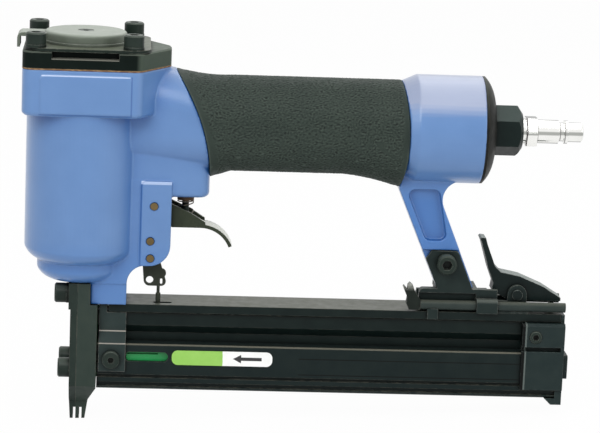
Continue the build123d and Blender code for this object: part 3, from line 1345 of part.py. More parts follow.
# Magazine slide: a channel that runs back along the rail to take a strip of brads
slide_half = SLIDE_WIDTH / 2
rib_top = strip_floor + STRIP_RIB_HEIGHT
upper_groove = slide_bottom + SLIDE_UPPER_GROOVE
lower_groove = slide_bottom + SLIDE_LOWER_GROOVE
groove_half_width = slide_half - SLIDE_GROOVE_DEPTH
outer = [
    (SLIDE_MOUTH / 2, slide_top),
    (slide_half - SLIDE_TRIM, slide_top),
    (slide_half, slide_top - SLIDE_TRIM),
    (slide_half, upper_groove + SLIDE_UPPER_GROOVE_WIDTH),
    (groove_half_width, upper_groove + SLIDE_UPPER_GROOVE_WIDTH),
    (groove_half_width, upper_groove),
    (slide_half, upper_groove),
    (slide_half, lower_groove + SLIDE_LOWER_GROOVE_WIDTH),
    (groove_half_width, lower_groove + SLIDE_LOWER_GROOVE_WIDTH),
    (groove_half_width, lower_groove),
    (slide_half, lower_groove),
    (slide_half, slide_bottom + SLIDE_TRIM),
    (slide_half - SLIDE_TRIM, slide_bottom),
]
inner = [
    (SLIDE_MOUTH / 2, slide_top - SLIDE_LIP),
    (cavity_half, slide_top - SLIDE_LIP),
    (cavity_half, strip_floor),
    (rib_outer, strip_floor),
    (rib_outer, rib_top),
    (STRIP_SLOT / 2, rib_top),
    (STRIP_SLOT / 2, strip_floor),
]
outer_left = [(-y, z) for y, z in reversed(outer)]
inner_left = [(-y, z) for y, z in inner]
window_z = slide_top - WINDOW_DROP
with BuildPart() as magazine_slide:
    with BuildSketch(Plane.YZ.offset(mag_start)):
        Polygon(*outer, *outer_left, *inner_left, *reversed(inner), align=None)
    extrude(amount=MAG_LENGTH)
    # Notches that let the guide screws pass as the slide moves back
    with BuildSketch(Plane.XZ):
        with Locations((mag_start, guide_screw_z)):
            SlotOverall(
                2 * (GUIDE_SCREW_X - MAG_START_GAP + M4[0] + SLIDE_FIT),
                2 * (M4[0] + SLIDE_FIT),
            )
    extrude(amount=SLIDE_WIDTH, both=True, mode=Mode.SUBTRACT)
    # Window on the near side
    with BuildSketch(Plane.XZ.offset(slide_half)):
        with Locations((mag_start + WINDOW_START + WINDOW_LENGTH / 2, window_z)):
            SlotOverall(WINDOW_LENGTH, WINDOW_HEIGHT)
    extrude(amount=-SLIDE_WALL - SEAT_FIT, mode=Mode.SUBTRACT)
save(magazine_slide, "magazine_slide")

# Bare label plate on the near side of the slide
with BuildPart() as reload_label:
    with BuildSketch(Plane.XZ.offset(slide_half)):
        with Locations((mag_start + LABEL_START + LABEL_LENGTH / 2, window_z)):
            RectangleRounded(LABEL_LENGTH, LABEL_HEIGHT, LABEL_CORNER)
    extrude(amount=LABEL_THICKNESS)
save(reload_label, "reload_label")

# Guide plates, bent to follow the side of the rail and the side of the slide
guide_outer = slide_half + SLIDE_FIT
guide_inner = web_half + SEAT_FIT
guide_front = nose_back_x + GUIDE_START
guide_low = [
    (guide_outer + GUIDE_THICKNESS, slide_top - GUIDE_DROP),
    (guide_outer + GUIDE_THICKNESS, slide_top + 2 * SLIDE_FIT),
    (guide_inner + GUIDE_THICKNESS, web_bottom - GUIDE_BEND),
    (guide_inner + GUIDE_THICKNESS, flange_bottom - SLIDE_FIT),
    (guide_inner, flange_bottom - SLIDE_FIT),
    (guide_inner, web_bottom - GUIDE_BEND - SLIDE_FIT),
    (guide_outer, slide_top + SLIDE_FIT),
    (guide_outer, slide_top - GUIDE_DROP),
]
with BuildPart() as guide_plates:
    for side in (1, -1):
        with BuildSketch(Plane.YZ.offset(guide_front)):
            Polygon(*[(side * y, z) for y, z in guide_low], align=None)
        extrude(amount=GUIDE_LENGTH)
        with Locations((guide_front, side * guide_inner, flange_bottom - SLIDE_FIT)):
            Box(
                GUIDE_TAB,
                2 * GUIDE_THICKNESS,
                RAIL_FLANGE_HEIGHT - SLIDE_FIT,
                align=(Align.MIN, Align.CENTER, Align.MIN),
            )
        with Locations((guide_front, side * (guide_inner - GUIDE_THICKNESS), flange_bottom - SLIDE_FIT)):
            Box(
                GUIDE_TAB,
                2 * GUIDE_THICKNESS,
                RAIL_FLANGE_HEIGHT,
                align=(Align.MIN, Align.CENTER, Align.MIN),
                mode=Mode.SUBTRACT,
            )
    with Locations(across(nose_back_x + GUIDE_SCREW_X, guide_screw_z)):
        Cylinder(M4[0] + SCREW_FIT, 4 * slide_half, mode=Mode.SUBTRACT)
save(guide_plates, "guide_plates")

guide_face = guide_outer + GUIDE_THICKNESS
guide_screw = socket_screw(M4, guide_face - rib_outer - 3 * SLIDE_FIT)
guide_screw_x = nose_back_x + GUIDE_SCREW_X
with BuildPart() as guide_screws:
    for side in (1, -1):
        with Locations(facing_side(side, guide_screw_x, guide_face, guide_screw_z)):
            add(guide_screw)
save(guide_screws, "guide_screws")

# Pusher: a blade that feeds the brads, bridged over the rib to a body that shows in the window
pusher_front = channel_x + SLIDE_FIT
pusher_body_x = pusher_front + PUSHER_NOSE
pusher_end = pusher_body_x + PUSHER_LENGTH
pusher_inner = rib_outer + SLIDE_FIT
pusher_outer = cavity_half - SLIDE_FIT
pusher_half = STRIP_SLOT / 2 - BLADE_FIT
pusher_bottom = strip_floor + SLIDE_FIT
pusher_top = foot_bottom - SLIDE_FIT
rod_y = -(pusher_inner + pusher_outer) / 2
rod_z = slide_bottom + PUSHER_ROD_RISE
FRONT_NEAR_LOW = (Align.MIN, Align.MIN, Align.MIN)
with BuildPart() as pusher:
    with Locations((pusher_body_x, -pusher_outer, pusher_bottom)):
        Box(PUSHER_LENGTH, pusher_outer - pusher_inner, pusher_top - pusher_bottom, align=FRONT_NEAR_LOW)
    with Locations((pusher_body_x, -pusher_inner, pusher_top - PUSHER_BRIDGE)):
        Box(PUSHER_LENGTH, pusher_inner + pusher_half, PUSHER_BRIDGE, align=FRONT_NEAR_LOW)
    with Locations((pusher_front, -pusher_half, pusher_bottom)):
        Box(
            pusher_end - pusher_front,
            2 * pusher_half,
            strip_roof - SLIDE_FIT - pusher_bottom,
            align=FRONT_NEAR_LOW,
        )
    with Locations((pusher_body_x, -pusher_outer, window_z + PUSHER_SLIT_RISE)):
        Box(
            2 * PUSHER_SLIT_LENGTH,
            2 * PUSHER_SLIT_DEPTH,
            PUSHER_SLIT_HEIGHT,
            mode=Mode.SUBTRACT,
        )
    with Locations(along(pusher_body_x, rod_z, rod_y)):
        Cylinder(PUSHER_ROD_RADIUS + RUN_FIT, PUSHER_LENGTH, align=FROM_BELOW, mode=Mode.SUBTRACT)
save(pusher, "pusher")

rod_front = pusher_body_x + SLIDE_FIT
rod_rear = mag_end + TAIL_BACK / 2
with BuildPart() as pusher_rod:
    with Locations(along(rod_front, rod_z, rod_y)):
        Cylinder(PUSHER_ROD_RADIUS, rod_rear - rod_front, align=FROM_BELOW)
save(pusher_rod, "pusher_rod")

with BuildPart() as pusher_spring:
    with Locations(along(pusher_end + SEAT_FIT, rod_z, rod_y)):
        add(
            coil(
                "pusher_spring",
                PUSHER_COIL_RADIUS,
                PUSHER_WIRE_RADIUS,
                mag_end - pusher_end - 2 * SEAT_FIT,
                PUSHER_TURNS,
            )
        )
save(pusher_spring, "pusher_spring")

# Cover on the rear end of the slide
tail_half = slide_half + SEAT_FIT + TAIL_WALL
tail_low = slide_bottom + TAIL_SKIRT
tail_sill = slide_bottom - SEAT_FIT
cheek_top = flange_bottom - SLIDE_FIT
tail_screw_x = tail_start + TAIL_SCREW_X
tail_screw_z = flange_bottom - TAIL_SCREW_DROP
with BuildPart() as slide_end_cover:
    with BuildSketch(Plane.YZ.offset(tail_start)):
        Polygon(
            *mirrored(
                [
                    (tail_half - TAIL_EDGE, cheek_top),
                    (tail_half, cheek_top - TAIL_EDGE),
                    (tail_half, tail_low),
                ]
            ),
            align=None,
        )
    extrude(amount=TAIL_LENGTH)
    with Locations((tail_end, 0, cheek_top)):
        Box(
            TAIL_BACK_TOP,
            RAIL_FLANGE_WIDTH,
            rail_top - SLIDE_FIT - cheek_top,
            align=(Align.MAX, Align.CENTER, Align.MIN),
        )
    # Back wall with a foot under the end of the slide
    with BuildSketch(Plane.XZ):
        Polygon(
            (tail_end, tail_low),
            (tail_end, slide_bottom - TAIL_FOOT_DROP),
            (tail_end - TAIL_FOOT_LENGTH, slide_bottom - TAIL_FOOT_DROP),
            (tail_end - TAIL_FOOT_LENGTH - TAIL_FOOT_DROP, tail_sill),
            (mag_end, tail_sill),
            (mag_end, tail_low),
            align=None,
        )
    extrude(amount=tail_half - TAIL_EDGE, both=True)
    with BuildSketch(Plane.YZ.offset(tail_end)):
        with Locations((0, slide_bottom + SLIDE_HEIGHT / 2 + TAIL_SLOT)):
            RectangleRounded(TAIL_PAD_WIDTH, TAIL_PAD_HEIGHT, TAIL_EDGE)
    extrude(amount=TAIL_PAD_DEPTH)
    # Sockets for the slide and for the rail above it
    with Locations((tail_start, 0, tail_sill)):
        Box(
            mag_end - tail_start,
            SLIDE_WIDTH + 2 * SEAT_FIT,
            SLIDE_HEIGHT + 2 * SEAT_FIT,
            align=(Align.MIN, Align.CENTER, Align.MIN),
            mode=Mode.SUBTRACT,
        )
    with Locations((tail_start, 0, slide_top)):
        Box(
            mag_end - tail_start,
            RAIL_WEB_WIDTH + 2 * SLIDE_FIT,
            cheek_top - slide_top,
            align=(Align.MIN, Align.CENTER, Align.MIN),
            mode=Mode.SUBTRACT,
        )
    with Locations(along(mag_end, rod_z, rod_y)):
        Cylinder(PUSHER_ROD_RADIUS + RUN_FIT, TAIL_BACK / 2, align=FROM_BELOW, mode=Mode.SUBTRACT)
    # Grooves along both cheeks, and the screw holes
    for side in (1, -1):
        with Locations((tail_start, side * tail_half, slide_top + TAIL_SLOT)):
            Box(
                TAIL_LENGTH - TAIL_BACK_TOP,
                2 * TAIL_SLOT_DEPTH,
                TAIL_SLOT,
                align=(Align.MIN, Align.CENTER, Align.CENTER),
                mode=Mode.SUBTRACT,
            )
    with Locations(across(tail_screw_x, tail_screw_z)):
        Cylinder(M3[0] + SCREW_FIT, 2 * tail_half, mode=Mode.SUBTRACT)
    for side in (1, -1):
        with Locations(facing_side(side, tail_screw_x, tail_half, tail_screw_z)):
            Cylinder(M3[1] + SCREW_FIT, TAIL_SCREW_SINK, align=FROM_ABOVE, mode=Mode.SUBTRACT)
save(slide_end_cover, "slide_end_cover")

tail_screw = socket_screw(M3, tail_half - TAIL_SCREW_SINK - web_half - 2 * SLIDE_FIT)
with BuildPart() as tail_screws:
    for side in (1, -1):
        with Locations(facing_side(side, tail_screw_x, tail_half - TAIL_SCREW_SINK, tail_screw_z)):
            add(tail_screw)
save(tail_screws, "tail_screws")

# Trigger: a channel of sheet with a curled finger piece
pivot_x, pivot_z = pin_places["trigger_pin"]
trigger_floor = handle_z - TRIGGER_FLOOR_DROP
trigger_half = TRIGGER_WIDTH / 2
cheek_low = [(pivot_x + x, pivot_z + z) for x, z in TRIGGER_CHEEK_LOW]
cheek_high = [(pivot_x + x, pivot_z + z) for x, z in TRIGGER_CHEEK]
with BuildPart() as trigger:
    for start in (trigger_half - TRIGGER_SHEET, -trigger_half):
        with BuildSketch(Plane.XZ.offset(-start)) as cheek:
            Polygon(*cheek_high, (cheek_high[-1][0], trigger_floor), *cheek_low, align=None)
            fillet(cheek.vertices().sort_by_distance(cheek_high[0])[0], TRIGGER_SHEET)
        extrude(amount=-TRIGGER_SHEET)
    with BuildSketch(Plane.XZ):
        with BuildLine() as finger:
            flat = Line(
                (cheek_low[0][0], trigger_floor + TRIGGER_SHEET / 2),
                (TRIGGER_BEND_X, trigger_floor + TRIGGER_SHEET / 2),
            )
            JernArc(flat @ 1, flat % 1, TRIGGER_BEND_RADIUS, -TRIGGER_BEND_ANGLE)
        trace(finger.edges(), TRIGGER_SHEET)
    extrude(amount=trigger_half, both=True)
    with Locations(across(pivot_x, pivot_z)):
        Cylinder(PIN_RADIUS + RUN_FIT, 2 * TRIGGER_WIDTH, mode=Mode.SUBTRACT)
save(trigger, "trigger")

pin_length = EAR_WIDTH + 2 * SLIDE_FIT
with BuildPart() as trigger_pin:
    with Locations(across(*pin_places["trigger_pin"])):
        Cylinder(PIN_RADIUS, pin_length)
save(trigger_pin, "trigger_pin")

with BuildPart() as stop_pin:
    with Locations(across(*pin_places["stop_pin"])):
        Cylinder(PIN_RADIUS, pin_length)
save(stop_pin, "stop_pin")

with BuildPart() as lockout_pin:
    with Locations(across(*pin_places["lockout_pin"])):
        Cylinder(PIN_RADIUS, pin_length)
save(lockout_pin, "lockout_pin")

# Trigger valve: bush, seal, stem and spring
bush_seal_major = VALVE_BORE - SEAL_WIRE - RUN_FIT
bush_seal_z = boss_bottom + VALVE_SEAL_RISE
stem_bottom = trigger_floor + TRIGGER_SHEET + SLIDE_FIT
stem_head_z = boss_bottom + VALVE_CAVITY_FLOOR + SLIDE_FIT
with BuildPart() as trigger_valve_bush:
    with Locations((VALVE_X, 0, boss_bottom)):
        Cylinder(VALVE_BORE - SEAT_FIT, VALVE_BUSH_LENGTH, align=FROM_BELOW)
        Cylinder(VALVE_BUSH_NOSE, VALVE_BUSH_NOSE_LENGTH, align=FROM_ABOVE)
        Cylinder(STEM_RADIUS + RUN_FIT, 4 * VALVE_BUSH_LENGTH, mode=Mode.SUBTRACT)
        with Locations((0, 0, VALVE_CAVITY_FLOOR)):
            Cylinder(VALVE_CAVITY, VALVE_BUSH_LENGTH, align=FROM_BELOW, mode=Mode.SUBTRACT)
    with BuildSketch(Plane.XY.offset(bush_seal_z - SEAL_WIRE - SEAT_FIT)):
        with Locations((VALVE_X, 0)):
            Circle(VALVE_BORE)
            Circle(bush_seal_major - SEAL_WIRE - RUN_FIT, mode=Mode.SUBTRACT)
    extrude(amount=2 * (SEAL_WIRE + SEAT_FIT), mode=Mode.SUBTRACT)
save(trigger_valve_bush, "trigger_valve_bush")

with BuildPart() as valve_seal:
    with Locations((VALVE_X, 0, bush_seal_z)):
        add(seal(bush_seal_major, SEAL_WIRE))
save(valve_seal, "valve_seal")

with BuildPart() as valve_stem:
    with Locations((VALVE_X, 0, stem_bottom)):
        Cylinder(STEM_RADIUS, stem_head_z - stem_bottom, align=FROM_BELOW)
    chamfer(valve_stem.edges().group_by(Axis.Z)[0], STEM_TIP)
    with Locations((VALVE_X, 0, stem_head_z)):
        Cylinder(STEM_HEAD_RADIUS, STEM_HEAD, align=FROM_BELOW)
save(valve_stem, "valve_stem")

valve_spring_z = stem_head_z + STEM_HEAD + SEAT_FIT
valve_roof = boss_bottom + VALVE_BORE_DEPTH
with BuildPart() as valve_spring:
    with Locations((VALVE_X, 0, valve_spring_z)):
        add(
            coil(
                "valve_spring",
                VALVE_COIL_RADIUS,
                VALVE_WIRE_RADIUS,
                valve_roof - valve_spring_z - SEAT_FIT,
                VALVE_TURNS,
            )
        )
save(valve_spring, "valve_spring")

# Return spring of the trigger, round the stem
trigger_spring_z = trigger_floor + TRIGGER_SHEET + SEAT_FIT
bush_nose_z = boss_bottom - VALVE_BUSH_NOSE_LENGTH
with BuildPart() as trigger_spring:
    with Locations((VALVE_X, 0, trigger_spring_z)):
        add(
            coil(
                "trigger_spring",
                TRIGGER_COIL_RADIUS,
                TRIGGER_WIRE_RADIUS,
                bush_nose_z - trigger_spring_z - SEAT_FIT,
                TRIGGER_TURNS,
            )
        )
save(trigger_spring, "trigger_spring")

# Lockout lever on its pin, and the feeler rod that it carries
lock_hole_z = lock_z - LOCK_LENGTH
lock_hole_x = lock_x + LOCK_HOLE_X
lock_toe_x = lock_x + LOCK_TOE_X
lock_bottom = lock_hole_z - LOCK_FOOT_RADIUS
lock_toe_z = lock_bottom + LOCK_TOE_RADIUS
with BuildPart() as lockout_lever:
    with BuildSketch(Plane.XZ.offset(-LOCK_Y)):
        with Locations((lock_x, lock_z)):
            Circle(LOCK_EYE)
        with Locations((lock_hole_x, lock_hole_z)):
            Circle(LOCK_FOOT_RADIUS)
        with Locations((lock_toe_x, lock_toe_z)):
            Circle(LOCK_TOE_RADIUS)
        make_hull()
        with Locations((lock_toe_x, lock_hole_z + LOCK_NUB_HEIGHT)):
            Circle(LOCK_TOE_RADIUS)
        with Locations((lock_x, lock_z)):
            Circle(PIN_RADIUS + RUN_FIT, mode=Mode.SUBTRACT)
        with Locations((lock_hole_x, lock_hole_z)):
            Circle(LOCK_HOLE_RADIUS, mode=Mode.SUBTRACT)
        with Locations((lock_toe_x, lock_toe_z)):
            SlotOverall(LOCK_TOE_SLOT, LOCK_TOE_RADIUS / 2, rotation=90, mode=Mode.SUBTRACT)
    extrude(amount=LOCK_SHEET / 2, both=True)
save(lockout_lever, "lockout_lever")

with BuildPart() as feeler_rod:
    with Locations((lock_x + FEELER_X, LOCK_Y, lock_bottom)):
        Cylinder(FEELER_RADIUS, lock_bottom - rail_top, align=FROM_ABOVE)
    with Locations((lock_x + FEELER_X, LOCK_Y, rail_top - FEELER_DEPTH)):
        Cylinder(FEELER_FOOT_RADIUS, FEELER_DEPTH + FEELER_FOOT_RISE, align=FROM_BELOW)
save(feeler_rod, "feeler_rod")

# Rear end cap with its seal and filter
cap_face = DRUM_END + END_CAP_DEPTH
spigot_x = DRUM_END - END_CAP_SPIGOT
filter_seat = spigot_x + 2 * FILTER_THICKNESS
end_seal_major = DRUM_BORE - END_SEAL_WIRE - RUN_FIT
end_seal_x = DRUM_END - END_CAP_SPIGOT / 2
groove_half = END_SEAL_WIRE + SEAT_FIT
groove_floor = handle_z + end_seal_major - END_SEAL_WIRE - RUN_FIT
with BuildPart() as end_cap:
    with BuildSketch(Plane.XZ):
        with Locations((0, handle_z)):
            with BuildLine():
                rim = (DRUM_END + END_CAP_RIM, handle_z + DRUM_RADIUS - SEAT_FIT)
                face = (cap_face, handle_z + END_CAP_FACE)
                TangentArc(face, rim, tangent=(0, 1))
                Polyline(
                    face,
                    (cap_face, handle_z + HEX_THREAD + SCREW_FIT),
                    (filter_seat, handle_z + HEX_THREAD + SCREW_FIT),
                    (filter_seat, handle_z + FILTER_RADIUS + SEAT_FIT),
                    (spigot_x, handle_z + FILTER_RADIUS + SEAT_FIT),
                    (spigot_x, handle_z + DRUM_BORE - SEAT_FIT),
                    (end_seal_x - groove_half, handle_z + DRUM_BORE - SEAT_FIT),
                    (end_seal_x - groove_half, groove_floor),
                    (end_seal_x + groove_half, groove_floor),
                    (end_seal_x + groove_half, handle_z + DRUM_BORE - SEAT_FIT),
                    (DRUM_END, handle_z + DRUM_BORE - SEAT_FIT),
                    (DRUM_END, handle_z + DRUM_RADIUS - SEAT_FIT),
                    rim,
                )
            make_face()
    revolve(axis=handle_axis)
save(end_cap, "end_cap")

with BuildPart() as end_cap_seal:
    with Locations(along(end_seal_x, handle_z)):
        add(seal(end_seal_major, END_SEAL_WIRE))
save(end_cap_seal, "end_cap_seal")

with BuildPart() as air_filter:
    with Locations(along(filter_seat - FILTER_THICKNESS, handle_z)):
        Cylinder(FILTER_RADIUS, FILTER_THICKNESS, align=FROM_BELOW)
        with PolarLocations(FILTER_RADIUS / 2, FILTER_HOLES):
            Cylinder(FILTER_HOLE_RADIUS, FILTER_THICKNESS, align=FROM_BELOW, mode=Mode.SUBTRACT)
save(air_filter, "air_filter")

# Hex reducer and air plug
hex_end = cap_face + HEX_LENGTH
hex_corner = HEX_ACROSS / sqrt(3)
with BuildPart() as hex_reducer:
    with BuildSketch(Plane.YZ.offset(cap_face)):
        with Locations((0, handle_z)):
            RegularPolygon(HEX_ACROSS / 2, 6, major_radius=False, rotation=90)
    extrude(amount=HEX_LENGTH)
    with BuildSketch(Plane.XZ):
        Polygon(
            (cap_face, handle_z),
            (cap_face, handle_z + hex_corner),
            (hex_end - HEX_CHAMFER, handle_z + hex_corner),
            (hex_end, handle_z + hex_corner - HEX_CHAMFER * sqrt(2)),
            (hex_end, handle_z),
            align=None,
        )
    revolve(axis=handle_axis, mode=Mode.INTERSECT)
    with Locations(along(cap_face, handle_z)):
        Cylinder(HEX_THREAD, HEX_THREAD_LENGTH, align=FROM_ABOVE)
        Cylinder(INLET_BORE, 4 * HEX_LENGTH, mode=Mode.SUBTRACT)
    with Locations(along(hex_end, handle_z)):
        thread_room = PLUG_THREAD_LENGTH + SLIDE_FIT
        Cylinder(PLUG_THREAD + SCREW_FIT, thread_room, align=FROM_ABOVE, mode=Mode.SUBTRACT)
save(hex_reducer, "hex_reducer")

plug_steps = [
    (PLUG_BODY_RADIUS, PLUG_BODY),
    (PLUG_WAIST_RADIUS, PLUG_WAIST),
    (PLUG_RING_RADIUS, PLUG_RING),
    (PLUG_TIP_RADIUS, PLUG_TIP),
]
collar_x = hex_end + PLUG_NECK
with BuildPart() as air_plug:
    with Locations(along(collar_x, handle_z)):
        Cylinder(PLUG_THREAD, PLUG_NECK + PLUG_THREAD_LENGTH, align=FROM_ABOVE)
    with BuildSketch(Plane.YZ.offset(collar_x)):
        with Locations((0, handle_z)):
            RegularPolygon(PLUG_COLLAR_ACROSS / 2, 6, major_radius=False)
    extrude(amount=PLUG_COLLAR)
    step_x = collar_x + PLUG_COLLAR
    for radius, length in plug_steps:
        with Locations(along(step_x, handle_z)):
            Cylinder(radius, length, align=FROM_BELOW)
        step_x += length
    chamfer(air_plug.edges().group_by(Axis.X)[-1], PLUG_EDGE)
    with Locations(along(collar_x, handle_z)):
        Cylinder(PLUG_BORE, 2 * (step_x - collar_x), mode=Mode.SUBTRACT)
save(air_plug, "air_plug")

# Bracket that joins the leg to the magazine and carries the latch
base_bottom = bracket_top - BRACKET_SHEET
channel_half = BRACKET_CHANNEL / 2
cheek_inner = LEG_WIDTH / 2 - BRACKET_SHEET + SEAT_FIT
cheek_end = bracket_top + BRACKET_CHEEK
side_rod_z = rail_top + ROD_RISE
side_rod_y = ROD_SPACING / 2
clip_outer = side_rod_y + ROD_RADIUS + SEAT_FIT + CLIP_WALL
clip_top = side_rod_z + ROD_RADIUS + SEAT_FIT + CLIP_WALL
bracket_screw_z = bracket_top + BRACKET_SCREW_RISE
ear_rear_x = latch_pin_x + BRACKET_EAR
pad_front = leg_front(base_bottom) - BRACKET_PAD
pad_rear = leg_rear(base_bottom) + BRACKET_PAD
far_top = bracket_top - BRACKET_FAR_DROP
ear_sill = latch_pin_z - BRACKET_SILL
wall_end = [
    (bracket_base_end, ear_sill),
    (latch_pin_x - BRACKET_EAR, ear_sill),
    (latch_pin_x - BRACKET_EAR, latch_pin_z),
    (ear_rear_x, latch_pin_z),
    (ear_rear_x, rail_top),
    (bracket_start, rail_top),
]
near_wall = [(bracket_start, base_bottom), (bracket_base_end, base_bottom)]
far_wall = [
    (bracket_start, far_top),
    (pad_front, far_top),
    (pad_front, base_bottom),
    (pad_rear, base_bottom),
    (pad_rear, far_top),
    (bracket_base_end, far_top),
]
with BuildPart() as leg_bracket:
    with Locations((pad_front, 0, base_bottom)):
        Box(
            pad_rear - pad_front,
            LEG_WIDTH,
            BRACKET_SHEET,
            align=(Align.MIN, Align.CENTER, Align.MIN),
        )
    # Lip along the near side of the base
    with BuildSketch(Plane.XZ.offset(channel_half - BRACKET_SHEET)) as lip:
        Polygon(
            (bracket_start, base_bottom),
            (bracket_start, bracket_top),
            (bracket_base_end, bracket_top),
            (bracket_base_end, base_bottom),
            align=None,
        )
        fillet(lip.vertices().sort_by_distance((bracket_start, bracket_top))[0], BRACKET_LIP_BEND)
    extrude(amount=LEG_WIDTH / 2 - channel_half + BRACKET_SHEET)
    # Strap from the lip to the rear clip on the near side
    with Locations((clip_start, -channel_half, rail_top)):
        Box(
            CLIP_LENGTH,
            LEG_WIDTH / 2 - channel_half,
            bracket_top - rail_top,
            align=(Align.MIN, Align.MAX, Align.MIN),
        )
    for side in (1, -1):
        # Wall of the channel, with an ear for the latch pin
        with BuildSketch(Plane.XZ.offset(side * (channel_half - BRACKET_SHEET))):
            Polygon(*(near_wall if side > 0 else far_wall), *wall_end, align=None)
            with Locations((latch_pin_x, latch_pin_z)):
                Circle(BRACKET_EAR)
                Circle(LATCH_PIN_RADIUS + RUN_FIT, mode=Mode.SUBTRACT)
        extrude(amount=side * BRACKET_SHEET)
        with Locations((clip_start, side * channel_half, rail_top)):
            Box(
                bracket_strip_end - clip_start,
                flange_half - channel_half,
                BRACKET_STRIP,
                align=(Align.MIN, Align.MIN if side > 0 else Align.MAX, Align.MIN),
            )
        # Cheek beside the leg
        with BuildSketch(Plane.XZ.offset(side * cheek_inner)) as cheek:
            Polygon(
                (leg_front(base_bottom), base_bottom),
                (leg_front(cheek_end), cheek_end),
                (leg_rear(cheek_end) - BRACKET_INSET, cheek_end),
                (leg_rear(base_bottom) - BRACKET_INSET, base_bottom),
                align=None,
            )
            chamfer(cheek.vertices().sort_by_distance((leg_front(cheek_end), cheek_end))[0], BRACKET_CORNER)
            fillet(cheek.vertices().sort_by_distance((leg_rear(cheek_end), cheek_end))[0], BRACKET_ROUND)
            with Locations((bracket_screw_x, bracket_screw_z)):
                Circle(M5[0] + SCREW_FIT, mode=Mode.SUBTRACT)
        extrude(amount=side * (BRACKET_SHEET - SEAT_FIT))
        # Clips round the side rod
        with BuildSketch(Plane.YZ.offset(clip_start)) as clip:
            Polygon(
                (side * channel_half, rail_top),
                (side * clip_outer, rail_top),
                (side * clip_outer, clip_top),
                (side * channel_half, clip_top),
                align=None,
            )
            fillet(clip.vertices().sort_by_distance((side * clip_outer, clip_top))[0], ROD_RADIUS)
        extrude(amount=CLIP_LENGTH)
        with Locations((front_clip_start, side * channel_half, rail_top)):
            Box(
                FRONT_CLIP_LENGTH,
                flange_half + SEAT_FIT + FRONT_CLIP_TAB - channel_half,
                FRONT_CLIP_HEIGHT,
                align=(Align.MIN, Align.MIN if side > 0 else Align.MAX, Align.MIN),
            )
        with Locations((front_clip_start, side * (flange_half + SEAT_FIT), rail_top)):
            Box(
                FRONT_CLIP_LENGTH,
                FRONT_CLIP_TAB,
                FRONT_CLIP_DROP,
                align=(Align.MIN, Align.MIN if side > 0 else Align.MAX, Align.MAX),
            )
        with Locations(along(bracket_start, side_rod_z, side * side_rod_y)):
            Cylinder(ROD_RADIUS + SEAT_FIT, rod_end - bracket_start, align=FROM_BELOW, mode=Mode.SUBTRACT)
save(leg_bracket, "leg_bracket")

with BuildPart() as bracket_screw:
    with Locations(across(bracket_screw_x, bracket_screw_z) * Pos(0, 0, -LEG_WIDTH / 2) * Rot(180, 0, 0)):
        add(socket_screw(M5, LEG_WIDTH + NUT_HEIGHT + SLIDE_FIT))
save(bracket_screw, "bracket_screw")

with BuildPart() as bracket_nut:
    with BuildSketch(Plane.XZ.offset(-LEG_WIDTH / 2)):
        with Locations((bracket_screw_x, bracket_screw_z)):
            RegularPolygon(NUT_ACROSS / 2, 6, major_radius=False)
            Circle(M5[0] + RUN_FIT, mode=Mode.SUBTRACT)
    extrude(amount=-NUT_HEIGHT)
save(bracket_nut, "bracket_nut")

# Side rods, and the forked hook on the front end of the near one
with BuildPart() as side_rods:
    for side in (1, -1):
        with Locations(along(rod_start, side_rod_z, side * side_rod_y)):
            Cylinder(ROD_RADIUS, rod_end - rod_start, align=FROM_BELOW)
save(side_rods, "side_rods")

hook_outline = [(0, -ROD_RADIUS), (0, ROD_RADIUS), *HOOK_BACK, *HOOK_FORK, *HOOK_FRONT]
with BuildPart() as rod_hook:
    with BuildSketch(Plane.XZ.offset(side_rod_y)):
        Polygon(*[(rod_start + x, side_rod_z + z) for x, z in hook_outline], align=None)
    extrude(amount=HOOK_WIDTH / 2, both=True)
save(rod_hook, "rod_hook")

# Latch lever, its pin and its spring
latch_half = LATCH_WIDTH / 2


def from_latch(*points):
    """Points given from the latch pin, as places on the side view."""
    return [(latch_pin_x + x, latch_pin_z + z) for x, z in points]


heel, shoulder, back_end = LATCH_FRONT[0], LATCH_BACK[0], LATCH_BACK[-1]
with BuildPart() as latch_lever:
    with BuildSketch(Plane.XZ):
        Polygon(
            *from_latch((LATCH_TOE, -LATCH_SILL), *LATCH_FRONT, *LATCH_THUMB, *LATCH_BACK),
            *from_latch((LATCH_TAIL, LATCH_SHEET - LATCH_SILL), (LATCH_TAIL, -LATCH_SILL)),
            align=None,
        )
    extrude(amount=latch_half, both=True)
    with BuildSketch(Plane.XZ):
        Polygon(
            *from_latch(
                (heel[0] + LATCH_SHEET, -2 * LATCH_SILL),
                (heel[0] + LATCH_SHEET, LATCH_FRONT[1][1]),
                (shoulder[0], shoulder[1] - 1.5 * LATCH_SHEET),
                (back_end[0], back_end[1] - LATCH_SHEET),
                (LATCH_TAIL - LATCH_SHEET, -LATCH_SILL),
                (LATCH_TAIL - LATCH_SHEET, -2 * LATCH_SILL),
            ),
            align=None,
        )
    extrude(amount=latch_half - LATCH_SHEET, both=True, mode=Mode.SUBTRACT)
    with Locations((tongue_x, 0, rail_top - LATCH_TONGUE_DEPTH)):
        Box(
            LATCH_TONGUE,
            LATCH_TONGUE_WIDTH,
            LATCH_PIN_RISE + LATCH_TONGUE_DEPTH,
            align=(Align.MIN, Align.CENTER, Align.MIN),
        )
    with Locations(across(latch_pin_x, latch_pin_z)):
        Cylinder(LATCH_PIN_RADIUS + RUN_FIT, 2 * LATCH_WIDTH, mode=Mode.SUBTRACT)
save(latch_lever, "latch_lever")

with BuildPart() as latch_pin:
    with Locations(across(latch_pin_x, latch_pin_z)):
        Cylinder(LATCH_PIN_RADIUS, BRACKET_CHANNEL)
        for side in (1, -1):
            with Locations((0, 0, side * (channel_half + LATCH_PIN_HEAD_HEIGHT / 2))):
                Cylinder(LATCH_PIN_HEAD, LATCH_PIN_HEAD_HEIGHT)
save(latch_pin, "latch_pin")

